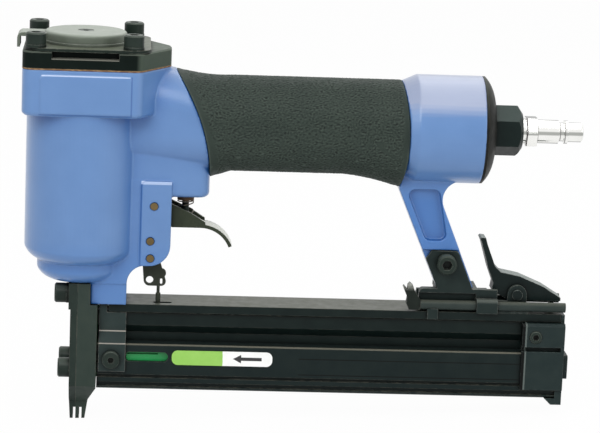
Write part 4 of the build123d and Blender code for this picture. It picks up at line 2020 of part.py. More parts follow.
with BuildPart() as latch_spring:
    with Locations(across(latch_pin_x, latch_pin_z) * Pos(0, 0, -LATCH_SPRING_LENGTH / 2)):
        add(coil("latch_spring", LATCH_COIL_RADIUS, LATCH_WIRE_RADIUS, LATCH_SPRING_LENGTH, LATCH_TURNS))
save(latch_spring, "latch_spring")
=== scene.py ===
"""A compact pneumatic brad nailer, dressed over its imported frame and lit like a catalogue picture."""
import math

import bmesh
import bpy
from mathutils import Matrix, Vector, noise


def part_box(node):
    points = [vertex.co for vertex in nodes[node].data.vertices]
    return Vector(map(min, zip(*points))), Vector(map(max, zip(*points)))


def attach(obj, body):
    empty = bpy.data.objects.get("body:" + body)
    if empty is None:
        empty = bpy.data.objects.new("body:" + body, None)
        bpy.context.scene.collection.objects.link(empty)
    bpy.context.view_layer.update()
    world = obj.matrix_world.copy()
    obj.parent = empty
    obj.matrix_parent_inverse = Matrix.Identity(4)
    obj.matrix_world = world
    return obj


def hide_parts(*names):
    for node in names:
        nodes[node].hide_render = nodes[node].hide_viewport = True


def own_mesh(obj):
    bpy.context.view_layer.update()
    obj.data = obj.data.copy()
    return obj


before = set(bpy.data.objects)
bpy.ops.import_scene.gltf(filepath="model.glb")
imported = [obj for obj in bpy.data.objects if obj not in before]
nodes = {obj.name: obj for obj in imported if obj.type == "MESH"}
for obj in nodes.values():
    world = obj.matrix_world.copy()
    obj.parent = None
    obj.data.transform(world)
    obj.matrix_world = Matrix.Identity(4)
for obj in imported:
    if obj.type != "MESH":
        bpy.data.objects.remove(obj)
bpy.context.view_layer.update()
scene = bpy.context.scene
MM = 0.001
X_AXIS, Y_AXIS, Z_AXIS = 0, 1, 2

# Skins of the casting and the grip
WELD = 0.001 * MM
CASTING_VOXEL = 0.42 * MM
CASTING_ROUNDS = 4
GRIP_VOXEL = 0.34 * MM
GRIP_ROUNDS = 6
ROUNDING = 0.5  # share of the way that a point moves towards its neighbours in one round

# Leathery grain of the grip
GRAIN_SEED = 7  # noise vectors follow the clock without one
WRINKLE_DEPTH = 0.2 * MM
WRINKLE_LENGTH = 1.5 * MM
WRINKLE_WIDTH = 0.75 * MM
SWIRL = 0.9
SWIRL_SCALE = 0.55
RIDGE_STEEPNESS = 2.4
FINE_SHARE = 0.45
FINE_SCALE = 2.3
FRONT_BAND = 4.2 * MM
REAR_BAND = 3.6 * MM
SMOOTH_SHARE = 0.55  # share of a band that has no grain at all
BAND_CELL = 1.5 * MM  # cells across the handle in which the slanting front edge is looked up
LEAST_OUTWARD = 0.2  # least outward part of a normal on the sleeve's outside

# Springs: node, body, axis, wire radius in millimetres, turns, joint and share of length kept at its limit
WIRE_SIDES = 12
STEPS_PER_TURN = 40
CLOSED_TURNS = 0.75
OPENING_TURNS = 0.5
CLOSED_PITCH = 2.08  # wire radii from turn to turn where the coil is closed
SPRINGS = (
    ("trigger_spring", "frame", Z_AXIS, 0.25, 4.0, "trigger_pivot", 0.60),
    ("valve_spring", "frame", Z_AXIS, 0.30, 5.5, "valve_stroke", 0.65),
    ("head_valve_spring", "frame", Z_AXIS, 0.70, 5.5, "main_valve_stroke", 0.755),
    ("pusher_spring", "magazine", X_AXIS, 0.30, 24.0, "pusher_travel", 0.208),
    ("latch_spring", "frame", Y_AXIS, 0.35, 5.0, None, 1.0),
)

# Where the casting's colour changes for painted shade low down and a painted highlight on the drum's top,
# from none of the new colour to all of it
REAR = (121 * MM, 127 * MM)
LEG = (110 * MM, 100 * MM)
NECK = (82 * MM, 70 * MM)
NECK_SHADE_SHARE = 0.55
DRUM = (118 * MM, 122 * MM)
DRUM_HIGHLIGHT_SLOPE = (0.36, 0.58)  # upward part of the surface's direction
PAINT_PATCHES = 16 * MM
# reach of the painted shade in the casting's corners, wide and narrow
WIDE_SHADE_REACH = 32 * MM
NARROW_SHADE_REACH = 9 * MM

# Detail of the dark coats, with their painted shade and painted highlights
COAT_BEVEL = 0.35 * MM
COAT_PATCHES = 7 * MM
# reach of the painted shade in a coat's hollows
COAT_SHADE_REACH = 2.5 * MM
COAT_EDGES = 0.5 * MM
COAT_RUBS = 2.5 * MM
RUB_SPAN = (0.35, 0.6)  # values of the noise from no rubbing to full
COAT_GLOSS = 3 * MM
COAT_DEPTH = 0.05 * MM
# black of the painted shade in hollows and along shade lines
SHADE_BLACK = (6, 9, 8)
# how far a face turns back before it takes the coat's painted side highlight
SIDE_SLOPE = (0.2, 0.6)  # backward part of the surface's direction
SATIN = (0.3, 0.42)  # least and most roughness
OILED = (0.3, 0.44)
CAST = (0.34, 0.48)

# Detail of the other finishes: each span runs from none of an effect to all of it
METAL_BEVEL = 0.25 * MM
STREAK_SPAN = (0.35, 0.65)
FLOW_SPAN = (0.4, 0.6)
FLECK_SPAN = (0.45, 0.6)
# pointiness spans of the grip's painted shade in dents and painted highlights on ridges
DENT_SPAN = (0.499, 0.465)  # pointiness, which is about 0.5 on a level face
RIDGE_SPAN = (0.502, 0.535)

# Lines on the finishes, of painted shade and painted highlights: an axis, a place along it and a width
# about that, in millimetres
# painted shade under the head's panel and along its right edge
PANEL_SHADE = (
    (("X", 0.8, 38.8), ("Z", 136.6, 0.7)),
    (("X", 19.95, 0.6), ("Z", 145.0, 16.8)),
)
# painted highlights along the top edge of the head's panel and the top of the ear plate
HIGHLIGHT_EDGES = (
    (("X", 0.8, 37.0), ("Z", 153.2, 0.5), ("Y", -25.9, 2.0)),
    (("X", 31.6, 13.0), ("Z", 106.6, 1.3)),
)
# painted highlight along the head cap's notch
NOTCH_HIGHLIGHT = ((("Z", 160.15, 0.4), ("X", 0.4, 28.0)),)
# painted highlights along the guide plates' bends
BEND_HIGHLIGHTS = ((("Z", 40.75, 0.5),), (("Z", 36.0, 0.5),))
# painted highlight on the end cover's front lip
LIP_HIGHLIGHT = ((("X", 193.3, 0.7),),)
# painted shadow on the end cover's front, beside the slide
COVER_SHADOW = ((("X", 192.2, 1.4),),)
# painted shade lines on the slide, where it has shallow grooves
SLIDE_LINES = (
    (("Z", 30.6, 0.4), ("X", 150.0, 110.0)),
    (("Z", 23.6, 0.4), ("X", 150.0, 110.0)),
)
# painted highlights along the slide's ledges
LEDGE_HIGHLIGHTS = (
    (("Z", 35.7, 1.0), ("Y", -12.0, 2.2)),
    (("Z", 35.7, 1.0), ("Y", 12.0, 2.2)),
)

# How far the fine lines of turned metal are drawn out along each axis
TURNED_ABOUT_X = (1, 80, 80)
TURNED_ABOUT_Z = (80, 80, 1)

# Turned lines of the air plug, and the painted grey reflections on its plating
COLLAR_EDGE = 9.75 * MM  # from the plug's inner end
COLLAR_LINE = 0.5 * MM
PLUG_RINGS = (194.7 * MM, 204.6 * MM, 206.6 * MM)
RING_LINE = 0.35 * MM
MIDDLE_REFLECTION = (1.0 * MM, 0.5 * MM)
TOP_REFLECTION = (0.955, 0.985)  # upward part of the surface's direction
UNDERSIDE_REFLECTION = (-0.8, -0.92)

# Where the hook's painted shade gives way to its pale tips and where the trigger's tongue takes a painted
# highlight, as shares of a piece's height or length
UNSHADED_TIPS = (0.7, 0.95)
UNSHADED_SPAN = (0.3, 0.5)  # values of the noise from least bare to most
TONGUE = (0.60, 0.66)
TONGUE_SLOPE = (0.05, 0.3)  # upward part of the surface's direction

# The label's two colours and its arrow, measured back from the arrow's tip
LABEL_SPLIT = 0.505
SPLIT_WAVE = 0.12 * MM
TIP_FROM_SPLIT = 4.4 * MM
HEAD_LENGTH = 3.6 * MM
HEAD_SLOPE = 0.52
SHAFT_HALF = 0.75 * MM
SHAFT_START = 3.2 * MM
SHAFT_END = 12.5 * MM

# Camera, from the photograph's view, with its angles in degrees
CAMERA_AZIMUTH = -3.86
CAMERA_ELEVATION = 11.53
CAMERA_ROLL = 2.3
CAMERA_DISTANCE = 1.153
CAMERA_TARGET = Vector((94.6, 0, 91.05)) * MM
CAMERA_LENS = 160.1
SENSOR_WIDTH = 36.0
CLIP_START = 0.05
CLIP_END = 50.0
SIDE_STEP = -0.65 * MM
UP_STEP = 0.09 * MM

# Floor and light, in metres. Lamps: name, place, size, radiance and the point that each one faces
FLOOR_SLOPE = 0.036
FLOOR_SIZE = 6.0
FLOOR_PATCHES = 0.4
FLOOR_GLOW = 0.97
AMBIENT = 0.42
WHITE = (1, 1, 1, 1)
LAMPS = (
    ("drum_strip", (0.26, -0.09, 1.15), (0.2, 1.88), 3.2, (0.26, -0.09, 0.0)),
    ("front_key", (-0.35, -0.95, 0.95), (0.8, 0.7), 4.6, CAMERA_TARGET),
    ("left_box", (-0.95, -0.95, 0.55), (0.7, 0.8), 1.0, CAMERA_TARGET),
    ("right_box", (1.1, -0.75, 0.5), (0.7, 0.7), 2.8, CAMERA_TARGET),
    ("rear_box", (0.45, 0.75, 0.85), (0.9, 0.5), 1.2, CAMERA_TARGET),
)

# Limits and sample counts of the shader nodes
NOISE_SPAN = (0.3, 0.7)  # most values of a noise lie between these
OPEN_TO_DEEP = (0.92, 0.45)  # share of open sky on a free face and deep in a corner
FLAT_TO_EDGE = (0.995, 0.80)  # how far a rounded normal agrees with the face's own
HOLLOW_SAMPLES = 6
BEVEL_SAMPLES = 4


def linear(red, green, blue):
    """A colour written as it looks on the screen, 0 to 255, in the shaders' own scale."""
    def one(level):
        level /= 255
        return level / 12.92 if level <= 0.04045 else ((level + 0.055) / 1.055) ** 2.4
    return one(red), one(green), one(blue), 1.0


def part_way(low, high, share):
    """A place between two others, at a share of the way."""
    return low + share * (high - low)


class Wiring:
    """A short way to add nodes to a node tree and to join them."""

    def __init__(self, tree):
        self.tree = tree

    def join(self, value, socket):
        """Links a socket, or sets a plain value on it."""
        if isinstance(value, bpy.types.NodeSocket):
            self.tree.links.new(value, socket)
        else:
            socket.default_value = value

    def add(self, kind, inputs=None, **settings):
        node = self.tree.nodes.new("ShaderNode" + kind)
        for key, value in settings.items():
            setattr(node, key, value)
        for socket, value in (inputs or {}).items():
            self.join(value, node.inputs[socket])
        return node

    def math(self, operation, first, second=0.0):
        return self.add("Math", {0: first, 1: second}, operation=operation).outputs[0]

    def background_rays(self):
        """1 for the rays that show the background: camera, glossy and transmission rays."""
        rays = self.add("LightPath").outputs
        either = self.math("MAXIMUM", rays["Is Camera Ray"], rays["Is Glossy Ray"])
        return self.math("MAXIMUM", either, rays["Is Transmission Ray"])


class Finish(Wiring):
    """One procedural material: a Principled shader and the patterns that feed it."""

    def __init__(self, name, **fixed):
        self.material = bpy.data.materials.new(name)
        self.material.use_nodes = True
        super().__init__(self.material.node_tree)
        self.shader = self.tree.nodes["Principled BSDF"]
        self.normal = None
        for key, value in fixed.items():
            self.set(key.replace("_", " "), value)

    def set(self, socket, value):
        self.join(value, self.shader.inputs[socket])

    def colour(self):
        """What feeds the base colour so far."""
        return self.shader.inputs["Base Color"].links[0].from_socket

    def place(self):
        """The place of a point in the object's own frame, in metres."""
        return self.add("TexCoord").outputs["Object"]

    def along(self, axis):
        return self.add("SeparateXYZ", {"Vector": self.place()}).outputs[axis]

    def ramp(self, value, start, stop, low=0.0, high=1.0):
        """Goes from low to high as a value goes from start to stop, and stays there."""
        inputs = {"Value": value, "From Min": start, "From Max": stop, "To Min": low, "To Max": high}
        return self.add("MapRange", inputs).outputs["Result"]

    def mix(self, share, first, second):
        """A colour between two others, by the sockets that a Mix node has for colours."""
        return self.add("Mix", {0: share, 6: first, 7: second}, data_type="RGBA").outputs[2]

    def noise(self, size, stretch=(1, 1, 1), detail=3.0):
        """Noise whose blotches are about size metres across, drawn out along an axis by stretch."""
        scale = [1 / (size * s) for s in stretch]
        spread = self.add("Mapping", {"Vector": self.place(), "Scale": scale}).outputs[0]
        return self.add("TexNoise", {"Vector": spread, "Scale": 1.0, "Detail": detail}).outputs[0]

    def hollows(self, reach):
        """1 in corners and grooves, 0 on open faces: where painted shade is laid."""
        sky = self.add("AmbientOcclusion", {"Distance": reach}, samples=HOLLOW_SAMPLES).outputs["AO"]
        return self.ramp(sky, *OPEN_TO_DEEP)

    def rounded(self, radius):
        """The normal as it would be with edges of this radius."""
        return self.add("Bevel", {"Radius": radius}, samples=BEVEL_SAMPLES).outputs[0]

    def soften(self, radius):
        """Rounds the shading over sharp edges, as a broken edge catches light."""
        self.normal = self.rounded(radius)

    def edges(self, radius):
        """1 along edges, 0 on open faces."""
        face = self.add("NewGeometry").outputs["Normal"]
        pair = {0: self.rounded(radius), 1: face}
        agree = self.add("VectorMath", pair, operation="DOT_PRODUCT").outputs["Value"]
        return self.ramp(agree, *FLAT_TO_EDGE)

    def upward(self, start=0.35, stop=0.95, axis="Z"):
        """From 0 to 1 as faces turn to look along an axis, which is up unless another is named."""
        normal = self.add("NewGeometry").outputs["Normal"]
        toward = self.add("SeparateXYZ", {"Vector": normal}).outputs[axis]
        return self.ramp(toward, start, stop)

    def away(self, axis, place):
        """Distance from a place along an axis, to either side."""
        return self.math("ABSOLUTE", self.math("SUBTRACT", self.along(axis), place))

    def near(self, axis, place, width):
        """1 within half a width of a place along an axis."""
        return self.math("LESS_THAN", self.away(axis, place), width / 2)

    def mark(self, limits):
        """1 inside every limit: an axis, a place along it and a width about that, in millimetres."""
        inside = 1.0
        for axis, place, width in limits:
            inside = self.math("MULTIPLY", inside, self.near(axis, place * MM, width * MM))
        return inside

    def bump(self, height, depth, strength):
        inputs = {"Height": height, "Distance": depth, "Strength": strength}
        if self.normal is not None:
            inputs["Normal"] = self.normal
        self.set("Normal", self.add("Bump", inputs).outputs[0])


def mottled(finish, base, lighter, size):
    """Slow change of colour over a surface."""
    patches = finish.ramp(finish.noise(size, detail=4.0), *NOISE_SPAN)
    return finish.mix(patches, linear(*base), linear(*lighter))


def rough(finish, size, low, high):
    """Roughness that wanders between two values."""
    finish.set("Roughness", finish.ramp(finish.noise(size), *NOISE_SPAN, low, high))


def blue_enamel():
    """Smooth blue paint, with painted shade low down and in corners, and a painted highlight where the drum
    looks up.
    """
    finish = Finish("blue_enamel", Coat_Weight=0.8, Coat_Roughness=0.28, Specular_IOR_Level=0.2)
    x, z = finish.along("X"), finish.along("Z")
    rear = finish.ramp(x, *REAR)
    leg = finish.math("MULTIPLY", rear, finish.ramp(z, *LEG))
    low_shade = finish.math("MAXIMUM", leg, finish.ramp(z, *NECK, high=NECK_SHADE_SHARE))
    drum = finish.math("MULTIPLY", rear, finish.ramp(z, *DRUM))
    drum_highlight = finish.math("MULTIPLY", drum, finish.upward(*DRUM_HIGHLIGHT_SLOPE))
    colour = mottled(finish, (86, 123, 173), (92, 129, 179), PAINT_PATCHES)
    # painted shade on the leg and the neck, low down on the casting
    colour = finish.mix(low_shade, colour, linear(64, 112, 174))
    # painted highlight on the drum's upward faces
    colour = finish.mix(drum_highlight, colour, linear(146, 157, 184))
    # painted shade in the casting's corners and recesses
    colour = finish.mix(finish.hollows(WIDE_SHADE_REACH), colour, linear(50, 98, 160))
    colour = finish.mix(finish.hollows(NARROW_SHADE_REACH), colour, linear(40, 88, 152))
    # painted shade along the panel's lower and right edges
    for limits in PANEL_SHADE:
        colour = finish.mix(finish.mark(limits), colour, linear(58, 100, 158))
    # painted highlights along the panel's top edge and the ear plate's top
    for limits in HIGHLIGHT_EDGES:
        colour = finish.mix(finish.mark(limits), colour, linear(160, 180, 214))
    finish.set("Base Color", colour)
    rough(finish, size=5 * MM, low=0.3, high=0.4)
    finish.bump(finish.noise(size=1.5 * MM, detail=2.0), depth=0.04 * MM, strength=0.3)
    return finish


def black_coat(name, base, lighter, wear_and_highlight, grain=0.45 * MM, gloss=(0.38, 0.52), edge=0.5, specular=0.12,
               top=None, side=None, deep=0.8, marks=(), shade_lines=()):
    """Dark paint or oxide in two tones with a fine sandy skin.

    wear_and_highlight is the colour of wear on edges and of the painted highlight lines in marks, and edge
    says how far edges wear.
    top and side are painted highlight colours on faces that look up and back. deep says how dark the
    painted shade in hollows is, and shade_lines are painted shade lines, as dark as that shade.
    """
    finish = Finish(name, Specular_IOR_Level=specular)
    finish.soften(COAT_BEVEL)
    colour = mottled(finish, base, lighter, COAT_PATCHES)
    # painted highlight on faces that look back
    if side:
        colour = finish.mix(finish.upward(*SIDE_SLOPE, axis="X"), colour, linear(*side))
    # painted highlight on faces that look up
    if top:
        colour = finish.mix(finish.upward(), colour, linear(*top))
    # painted shade in hollows, and painted shade lines, darken the coat
    painted_shade = finish.math("MULTIPLY", finish.hollows(COAT_SHADE_REACH), deep)
    for limits in shade_lines:
        painted_shade = finish.math("MAXIMUM", painted_shade, finish.mark(limits))
    colour = finish.mix(painted_shade, colour, linear(*SHADE_BLACK))
    patchy = finish.ramp(finish.noise(COAT_RUBS), *RUB_SPAN)
    wear_and_lit_lines = finish.math("MULTIPLY", finish.edges(COAT_EDGES), patchy)
    wear_and_lit_lines = finish.math("MULTIPLY", wear_and_lit_lines, edge)
    # painted highlight lines join the wear on edges
    for limits in marks:
        wear_and_lit_lines = finish.math("MAXIMUM", wear_and_lit_lines, finish.mark(limits))
    finish.set("Base Color", finish.mix(wear_and_lit_lines, colour, linear(*wear_and_highlight)))
    rough(finish, COAT_GLOSS, *gloss)
    finish.bump(finish.noise(grain, detail=4.0), COAT_DEPTH, strength=0.5)
    return finish


def drawn_metal(name, base, lighter, gloss, grain, stretch):
    """Metal with fine lines, drawn out along the axes by stretch, and a slow change of tone."""
    finish = Finish(name, Metallic=1.0, Specular_IOR_Level=0.5)
    finish.soften(METAL_BEVEL)
    lines = finish.noise(grain, stretch, detail=2.0)
    colour = mottled(finish, base, lighter, size=9 * MM)
    streaks = finish.ramp(lines, *STREAK_SPAN, high=0.35)
    finish.set("Base Color", finish.mix(streaks, colour, linear(*lighter)))
    finish.set("Roughness", finish.ramp(lines, *NOISE_SPAN, *gloss))
    finish.bump(lines, depth=0.012 * MM, strength=0.5)
    return finish


def plug_nickel():
    """Bright turned plating with painted grey reflections at mid height, above and below, and dark lines at
    its edges.
    """
    low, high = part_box("air_plug")
    finish = drawn_metal("turned_nickel", (236, 236, 232), (246, 246, 243), gloss=(0.08, 0.2),
                         grain=0.22 * MM, stretch=TURNED_ABOUT_X)
    # painted grey reflection along the plug's mid height
    off = finish.away("Z", part_way(low.z, high.z, 0.5))
    middle = finish.ramp(off, *MIDDLE_REFLECTION, high=0.75)
    colour = finish.mix(middle, finish.colour(), linear(138, 141, 136))
    # painted grey reflections on the plug's top and underside
    for slope in (TOP_REFLECTION, UNDERSIDE_REFLECTION):
        colour = finish.mix(finish.upward(*slope), colour, linear(120, 122, 120))
    for place in PLUG_RINGS:
        colour = finish.mix(finish.near("X", place, RING_LINE), colour, linear(128, 127, 125))
    collar = finish.near("X", low.x + COLLAR_EDGE, COLLAR_LINE)
    finish.set("Base Color", finish.mix(collar, colour, linear(58, 52, 54)))
    return finish


def hook_steel():
    """Pale steel at its tips, with painted shade darkening it towards its foot."""
    low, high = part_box("rod_hook")
    finish = black_coat("hook_steel", (17, 23, 20), (27, 33, 29), wear_and_highlight=(120, 120, 112), edge=0.7)
    # painted shade over the hook's lower part, clearing towards the pale tips
    unshaded = finish.ramp(finish.along("Z"), *(part_way(low.z, high.z, share) for share in UNSHADED_TIPS))
    patchy = finish.math("MULTIPLY", unshaded, finish.ramp(finish.noise(size=1.2 * MM), *UNSHADED_SPAN, low=0.4))
    finish.set("Base Color", finish.mix(patchy, finish.colour(), linear(150, 152, 145)))
    return finish


def trigger_olive():
    """Olive-black with a painted highlight on the tongue's upper face."""
    low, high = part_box("trigger")
    finish = black_coat("trigger_black", (46, 53, 41), (54, 60, 47), wear_and_highlight=(124, 124, 116),
                        gloss=(0.25, 0.38))
    tongue = finish.ramp(finish.along("X"), *(part_way(low.x, high.x, share) for share in TONGUE))
    # painted highlight on the tongue's upward faces
    tongue_highlight = finish.math("MULTIPLY", tongue, finish.upward(*TONGUE_SLOPE))
    finish.set("Base Color", finish.mix(tongue_highlight, finish.colour(), linear(226, 228, 218)))
    return finish


def grip_rubber():
    """Matt rubber with painted shade in the dents of its grain and painted highlights on the ridges."""
    finish = Finish("grip_rubber", Specular_IOR_Level=0.2)
    point = finish.add("NewGeometry").outputs["Pointiness"]
    dents = finish.ramp(point, *DENT_SPAN, high=0.85)
    ridges = finish.ramp(point, *RIDGE_SPAN, high=0.5)
    colour = mottled(finish, (37, 47, 42), (44, 54, 48), size=11 * MM)
    # painted shade in the dents and painted highlights on the ridges
    colour = finish.mix(dents, colour, linear(14, 20, 17))
    colour = finish.mix(ridges, colour, linear(76, 87, 79))
    finish.set("Base Color", colour)
    rough(finish, size=1.2 * MM, low=0.5, high=0.68)
    finish.bump(finish.noise(size=0.3 * MM, stretch=(1.6, 1, 1)), depth=0.05 * MM, strength=0.6)
    return finish


def soft_solid(name, base, lighter, grain, gloss):
    """Moulded rubber or plastic with a fine grain and faint flow marks."""
    finish = Finish(name, Specular_IOR_Level=0.4)
    flow = finish.ramp(finish.noise(size=4 * MM, stretch=(3, 1, 1), detail=2.0), *FLOW_SPAN, high=0.4)
    colour = mottled(finish, base, lighter, size=6 * MM)
    finish.set("Base Color", finish.mix(flow, colour, linear(*lighter)))
    rough(finish, 1.5 * MM, *gloss)
    finish.bump(finish.noise(grain), depth=0.03 * MM, strength=0.5)
    return finish


def fibre_gasket():
    """Brown fibre sheet with flecks that lie flat in it."""
    finish = Finish("fibre_gasket", Specular_IOR_Level=0.3)
    flecks = finish.ramp(finish.noise(size=0.35 * MM, stretch=(5, 5, 1)), *FLECK_SPAN)
    finish.set("Base Color", finish.mix(flecks, linear(112, 84, 58), linear(150, 122, 88)))
    rough(finish, size=1 * MM, low=0.75, high=0.9)
    finish.bump(flecks, depth=0.04 * MM, strength=0.6)
    return finish


def printed_label():
    """Glossy film, light green in front and white behind, with a plain arrow that points at the window."""
    low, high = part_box("reload_label")
    finish = Finish("label_film", Specular_IOR_Level=0.45, Coat_Weight=0.3, Coat_Roughness=0.15)
    x = finish.along("X")
    split = part_way(low.x, high.x, LABEL_SPLIT)
    wave = finish.ramp(finish.noise(size=3 * MM), *NOISE_SPAN, low=-SPLIT_WAVE, high=SPLIT_WAVE)
    behind = finish.math("GREATER_THAN", finish.math("ADD", x, wave), split)
    green = mottled(finish, (139, 194, 79), (148, 200, 90), size=5 * MM)
    white = mottled(finish, (238, 239, 236), (246, 247, 245), size=6 * MM)
    behind_tip = finish.math("SUBTRACT", x, split + TIP_FROM_SPLIT)
    off_line = finish.away("Z", part_way(low.z, high.z, 0.5))
    head = finish.math("LESS_THAN", off_line, finish.math("MULTIPLY", behind_tip, HEAD_SLOPE))
    head = finish.math("MULTIPLY", head, finish.math("LESS_THAN", behind_tip, HEAD_LENGTH))
    shaft = finish.math("LESS_THAN", off_line, SHAFT_HALF)
    shaft = finish.math("MULTIPLY", shaft, finish.math("GREATER_THAN", behind_tip, SHAFT_START))
    shaft = finish.math("MULTIPLY", shaft, finish.math("LESS_THAN", behind_tip, SHAFT_END))
    arrow = finish.math("MAXIMUM", head, shaft)
    finish.set("Base Color", finish.mix(arrow, finish.mix(behind, green, white), linear(34, 34, 36)))
    rough(finish, 2 * MM, *SATIN)
    finish.bump(finish.noise(size=1.6 * MM, detail=2.0), depth=0.02 * MM, strength=0.3)
    return finish


def dress(names, finish):
    """Gives CAD nodes, named in one string, a finish."""
    for name in names.split():
        if not nodes[name].material_slots:
            nodes[name].data.materials.append(finish.material)
        for slot in nodes[name].material_slots:
            slot.material = finish.material


def piece_from(name, mesh, finish, body, node):
    """A new piece that replaces a CAD node and rides on its body."""
    piece = bpy.data.objects.new(name, mesh)
    scene.collection.objects.link(piece)
    mesh.materials.clear()
    mesh.materials.append(finish.material)
    mesh.shade_smooth()
    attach(piece, body)
    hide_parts(node)
    return piece


def even_skin(node, voxel, rounds):
    """A node's shape as an even, slightly rounded skin that stays in the node's box."""
    source = nodes[node].data.copy()
    welded = bmesh.new()
    welded.from_mesh(source)
    bmesh.ops.remove_doubles(welded, verts=welded.verts, dist=WELD)
    welded.to_mesh(source)
    welded.free()
    carrier = bpy.data.objects.new(node + "_skin", source)
    scene.collection.objects.link(carrier)
    remesh = carrier.modifiers.new("skin", "REMESH")
    remesh.mode = "VOXEL"
    remesh.voxel_size = voxel
    smooth = carrier.modifiers.new("rounding", "SMOOTH")
    smooth.factor = ROUNDING
    smooth.iterations = rounds
    evaluated = carrier.evaluated_get(bpy.context.evaluated_depsgraph_get())
    mesh = bpy.data.meshes.new_from_object(evaluated)
    bpy.data.objects.remove(carrier)
    low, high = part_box(node)
    for vertex in mesh.vertices:
        vertex.co = [min(max(place, least), most) for place, least, most in zip(vertex.co, low, high)]
    return mesh


def wrinkle(point):
    """Leathery grain: crooked ridges drawn out along the handle, from about -1 to 1."""
    spot = Vector((point.x / WRINKLE_LENGTH, point.y / WRINKLE_WIDTH, point.z / WRINKLE_WIDTH))
    spot += SWIRL * noise.noise_vector(spot * SWIRL_SCALE)
    ridge = 1 - RIDGE_STEEPNESS * abs(noise.noise(spot))
    return ridge + FINE_SHARE * noise.noise(spot * FINE_SCALE)


def band_cell(place):
    """The cell across the handle that a point lies in."""
    return round(place.y / BAND_CELL), round(place.z / BAND_CELL)


def grip_mesh():
    """The sleeve with its grain raised on the outside and a smooth band at each end."""
    noise.seed_set(GRAIN_SEED)
    mesh = even_skin("grip_sleeve", GRIP_VOXEL, GRIP_ROUNDS)
    low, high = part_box("grip_sleeve")
    middle = (low + high) / 2
    fronts = {}
    for vertex in mesh.vertices:
        cell = band_cell(vertex.co)
        fronts[cell] = min(fronts.get(cell, high.x), vertex.co.x)
    normals = [vertex.normal.copy() for vertex in mesh.vertices]
    for vertex, normal in zip(mesh.vertices, normals):
        place = vertex.co
        outward = Vector((0, place.y, place.z - middle.z)).normalized()
        if normal.dot(outward) < LEAST_OUTWARD:
            continue
        from_front = (place.x - fronts[band_cell(place)]) / FRONT_BAND
        from_rear = (high.x - place.x) / REAR_BAND
        room = (min(from_front, from_rear) - SMOOTH_SHARE) / (1 - SMOOTH_SHARE)
        share = max(0.0, min(1.0, room))
        vertex.co = place + normal * (WRINKLE_DEPTH * share * wrinkle(place))
    return mesh


def tube(path, radius):
    """A round wire along a path, closed at both ends."""
    mesh = bpy.data.meshes.new("wire")
    build = bmesh.new()
    angles = [2 * math.pi * k / WIRE_SIDES for k in range(WIRE_SIDES)]
    last = len(path) - 1
    side = (path[1] - path[0]).normalized().orthogonal()
    rings = []
    for i, point in enumerate(path):
        ahead = (path[min(i + 1, last)] - path[max(i - 1, 0)]).normalized()
        side = (side - ahead * side.dot(ahead)).normalized()
        across = ahead.cross(side)
        spokes = [side * math.cos(angle) + across * math.sin(angle) for angle in angles]
        rings.append([build.verts.new(point + radius * spoke) for spoke in spokes])
    for one, two in zip(rings, rings[1:]):
        for k in range(WIRE_SIDES):
            n = (k + 1) % WIRE_SIDES
            build.faces.new((one[k], one[n], two[n], two[k]))
    build.faces.new(rings[0][::-1])
    build.faces.new(rings[-1])
    build.normal_update()
    build.to_mesh(mesh)
    build.free()
    return mesh


def spring_mesh(node, axis, wire, turns):
    """A coil that fills its node's box along axis, with closed turns at both ends."""
    low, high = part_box(node)
    middle = (low + high) / 2
    first, second = [i for i in (X_AXIS, Y_AXIS, Z_AXIS) if i != axis]
    radius = (high[first] - low[first]) / 2 - wire
    count = int(turns * STEPS_PER_TURN)
    live = []
    for i in range(count + 1):
        turn = i / STEPS_PER_TURN
        from_end = min(turn, turns - turn) - CLOSED_TURNS
        live.append(max(0.0, min(1.0, from_end / OPENING_TURNS)))
    closed = CLOSED_PITCH * wire / STEPS_PER_TURN
    length = high[axis] - low[axis] - 2 * wire
    spare = (length - closed * count) / sum(live[:-1])
    reach = low[axis] + wire
    path = []
    for i in range(count + 1):
        angle = 2 * math.pi * i / STEPS_PER_TURN
        point = Vector((0, 0, 0))
        point[first] = middle[first] + radius * math.cos(angle)
        point[second] = middle[second] + radius * math.sin(angle)
        point[axis] = reach
        path.append(point)
        reach += closed + spare * live[i]
    return tube(path, wire)


def pale_floor():
    """A floor that is white to the camera and in reflections, apart from the object's faint shadow."""
    half = FLOOR_SIZE / 2
    corners = [(-half, -half), (half, -half), (half, half), (-half, half)]
    mesh = bpy.data.meshes.new("floor")
    mesh.from_pydata([(x, y, FLOOR_SLOPE * x) for x, y in corners], [], [(0, 1, 2, 3)])
    floor = bpy.data.objects.new("floor", mesh)
    scene.collection.objects.link(floor)
    finish = Finish("pale_floor", Roughness=0.8, Specular_IOR_Level=0.1)
    finish.set("Base Color", mottled(finish, (246, 246, 246), (249, 249, 249), FLOOR_PATCHES))
    glow = finish.add("Emission", {"Color": WHITE, "Strength": 1.0}).outputs[0]
    share = finish.math("MULTIPLY", finish.background_rays(), FLOOR_GLOW)
    blend = finish.add("MixShader", {0: share, 1: finish.shader.outputs[0], 2: glow}).outputs[0]
    finish.join(blend, finish.tree.nodes["Material Output"].inputs["Surface"])
    mesh.materials.append(finish.material)


def studio_world():
    """Dim white light from all round, with a white background where it shows."""
    world = bpy.data.worlds.new("studio")
    world.use_nodes = True
    scene.world = world
    sky = Wiring(world.node_tree)
    dim = sky.tree.nodes["Background"]
    sky.join(WHITE, dim.inputs["Color"])
    sky.join(AMBIENT, dim.inputs["Strength"])
    white = sky.add("Background", {"Color": WHITE, "Strength": 1.0}).outputs[0]
    both = sky.add("MixShader", {0: sky.background_rays(), 1: dim.outputs[0], 2: white}).outputs[0]
    sky.join(both, sky.tree.nodes["World Output"].inputs["Surface"])


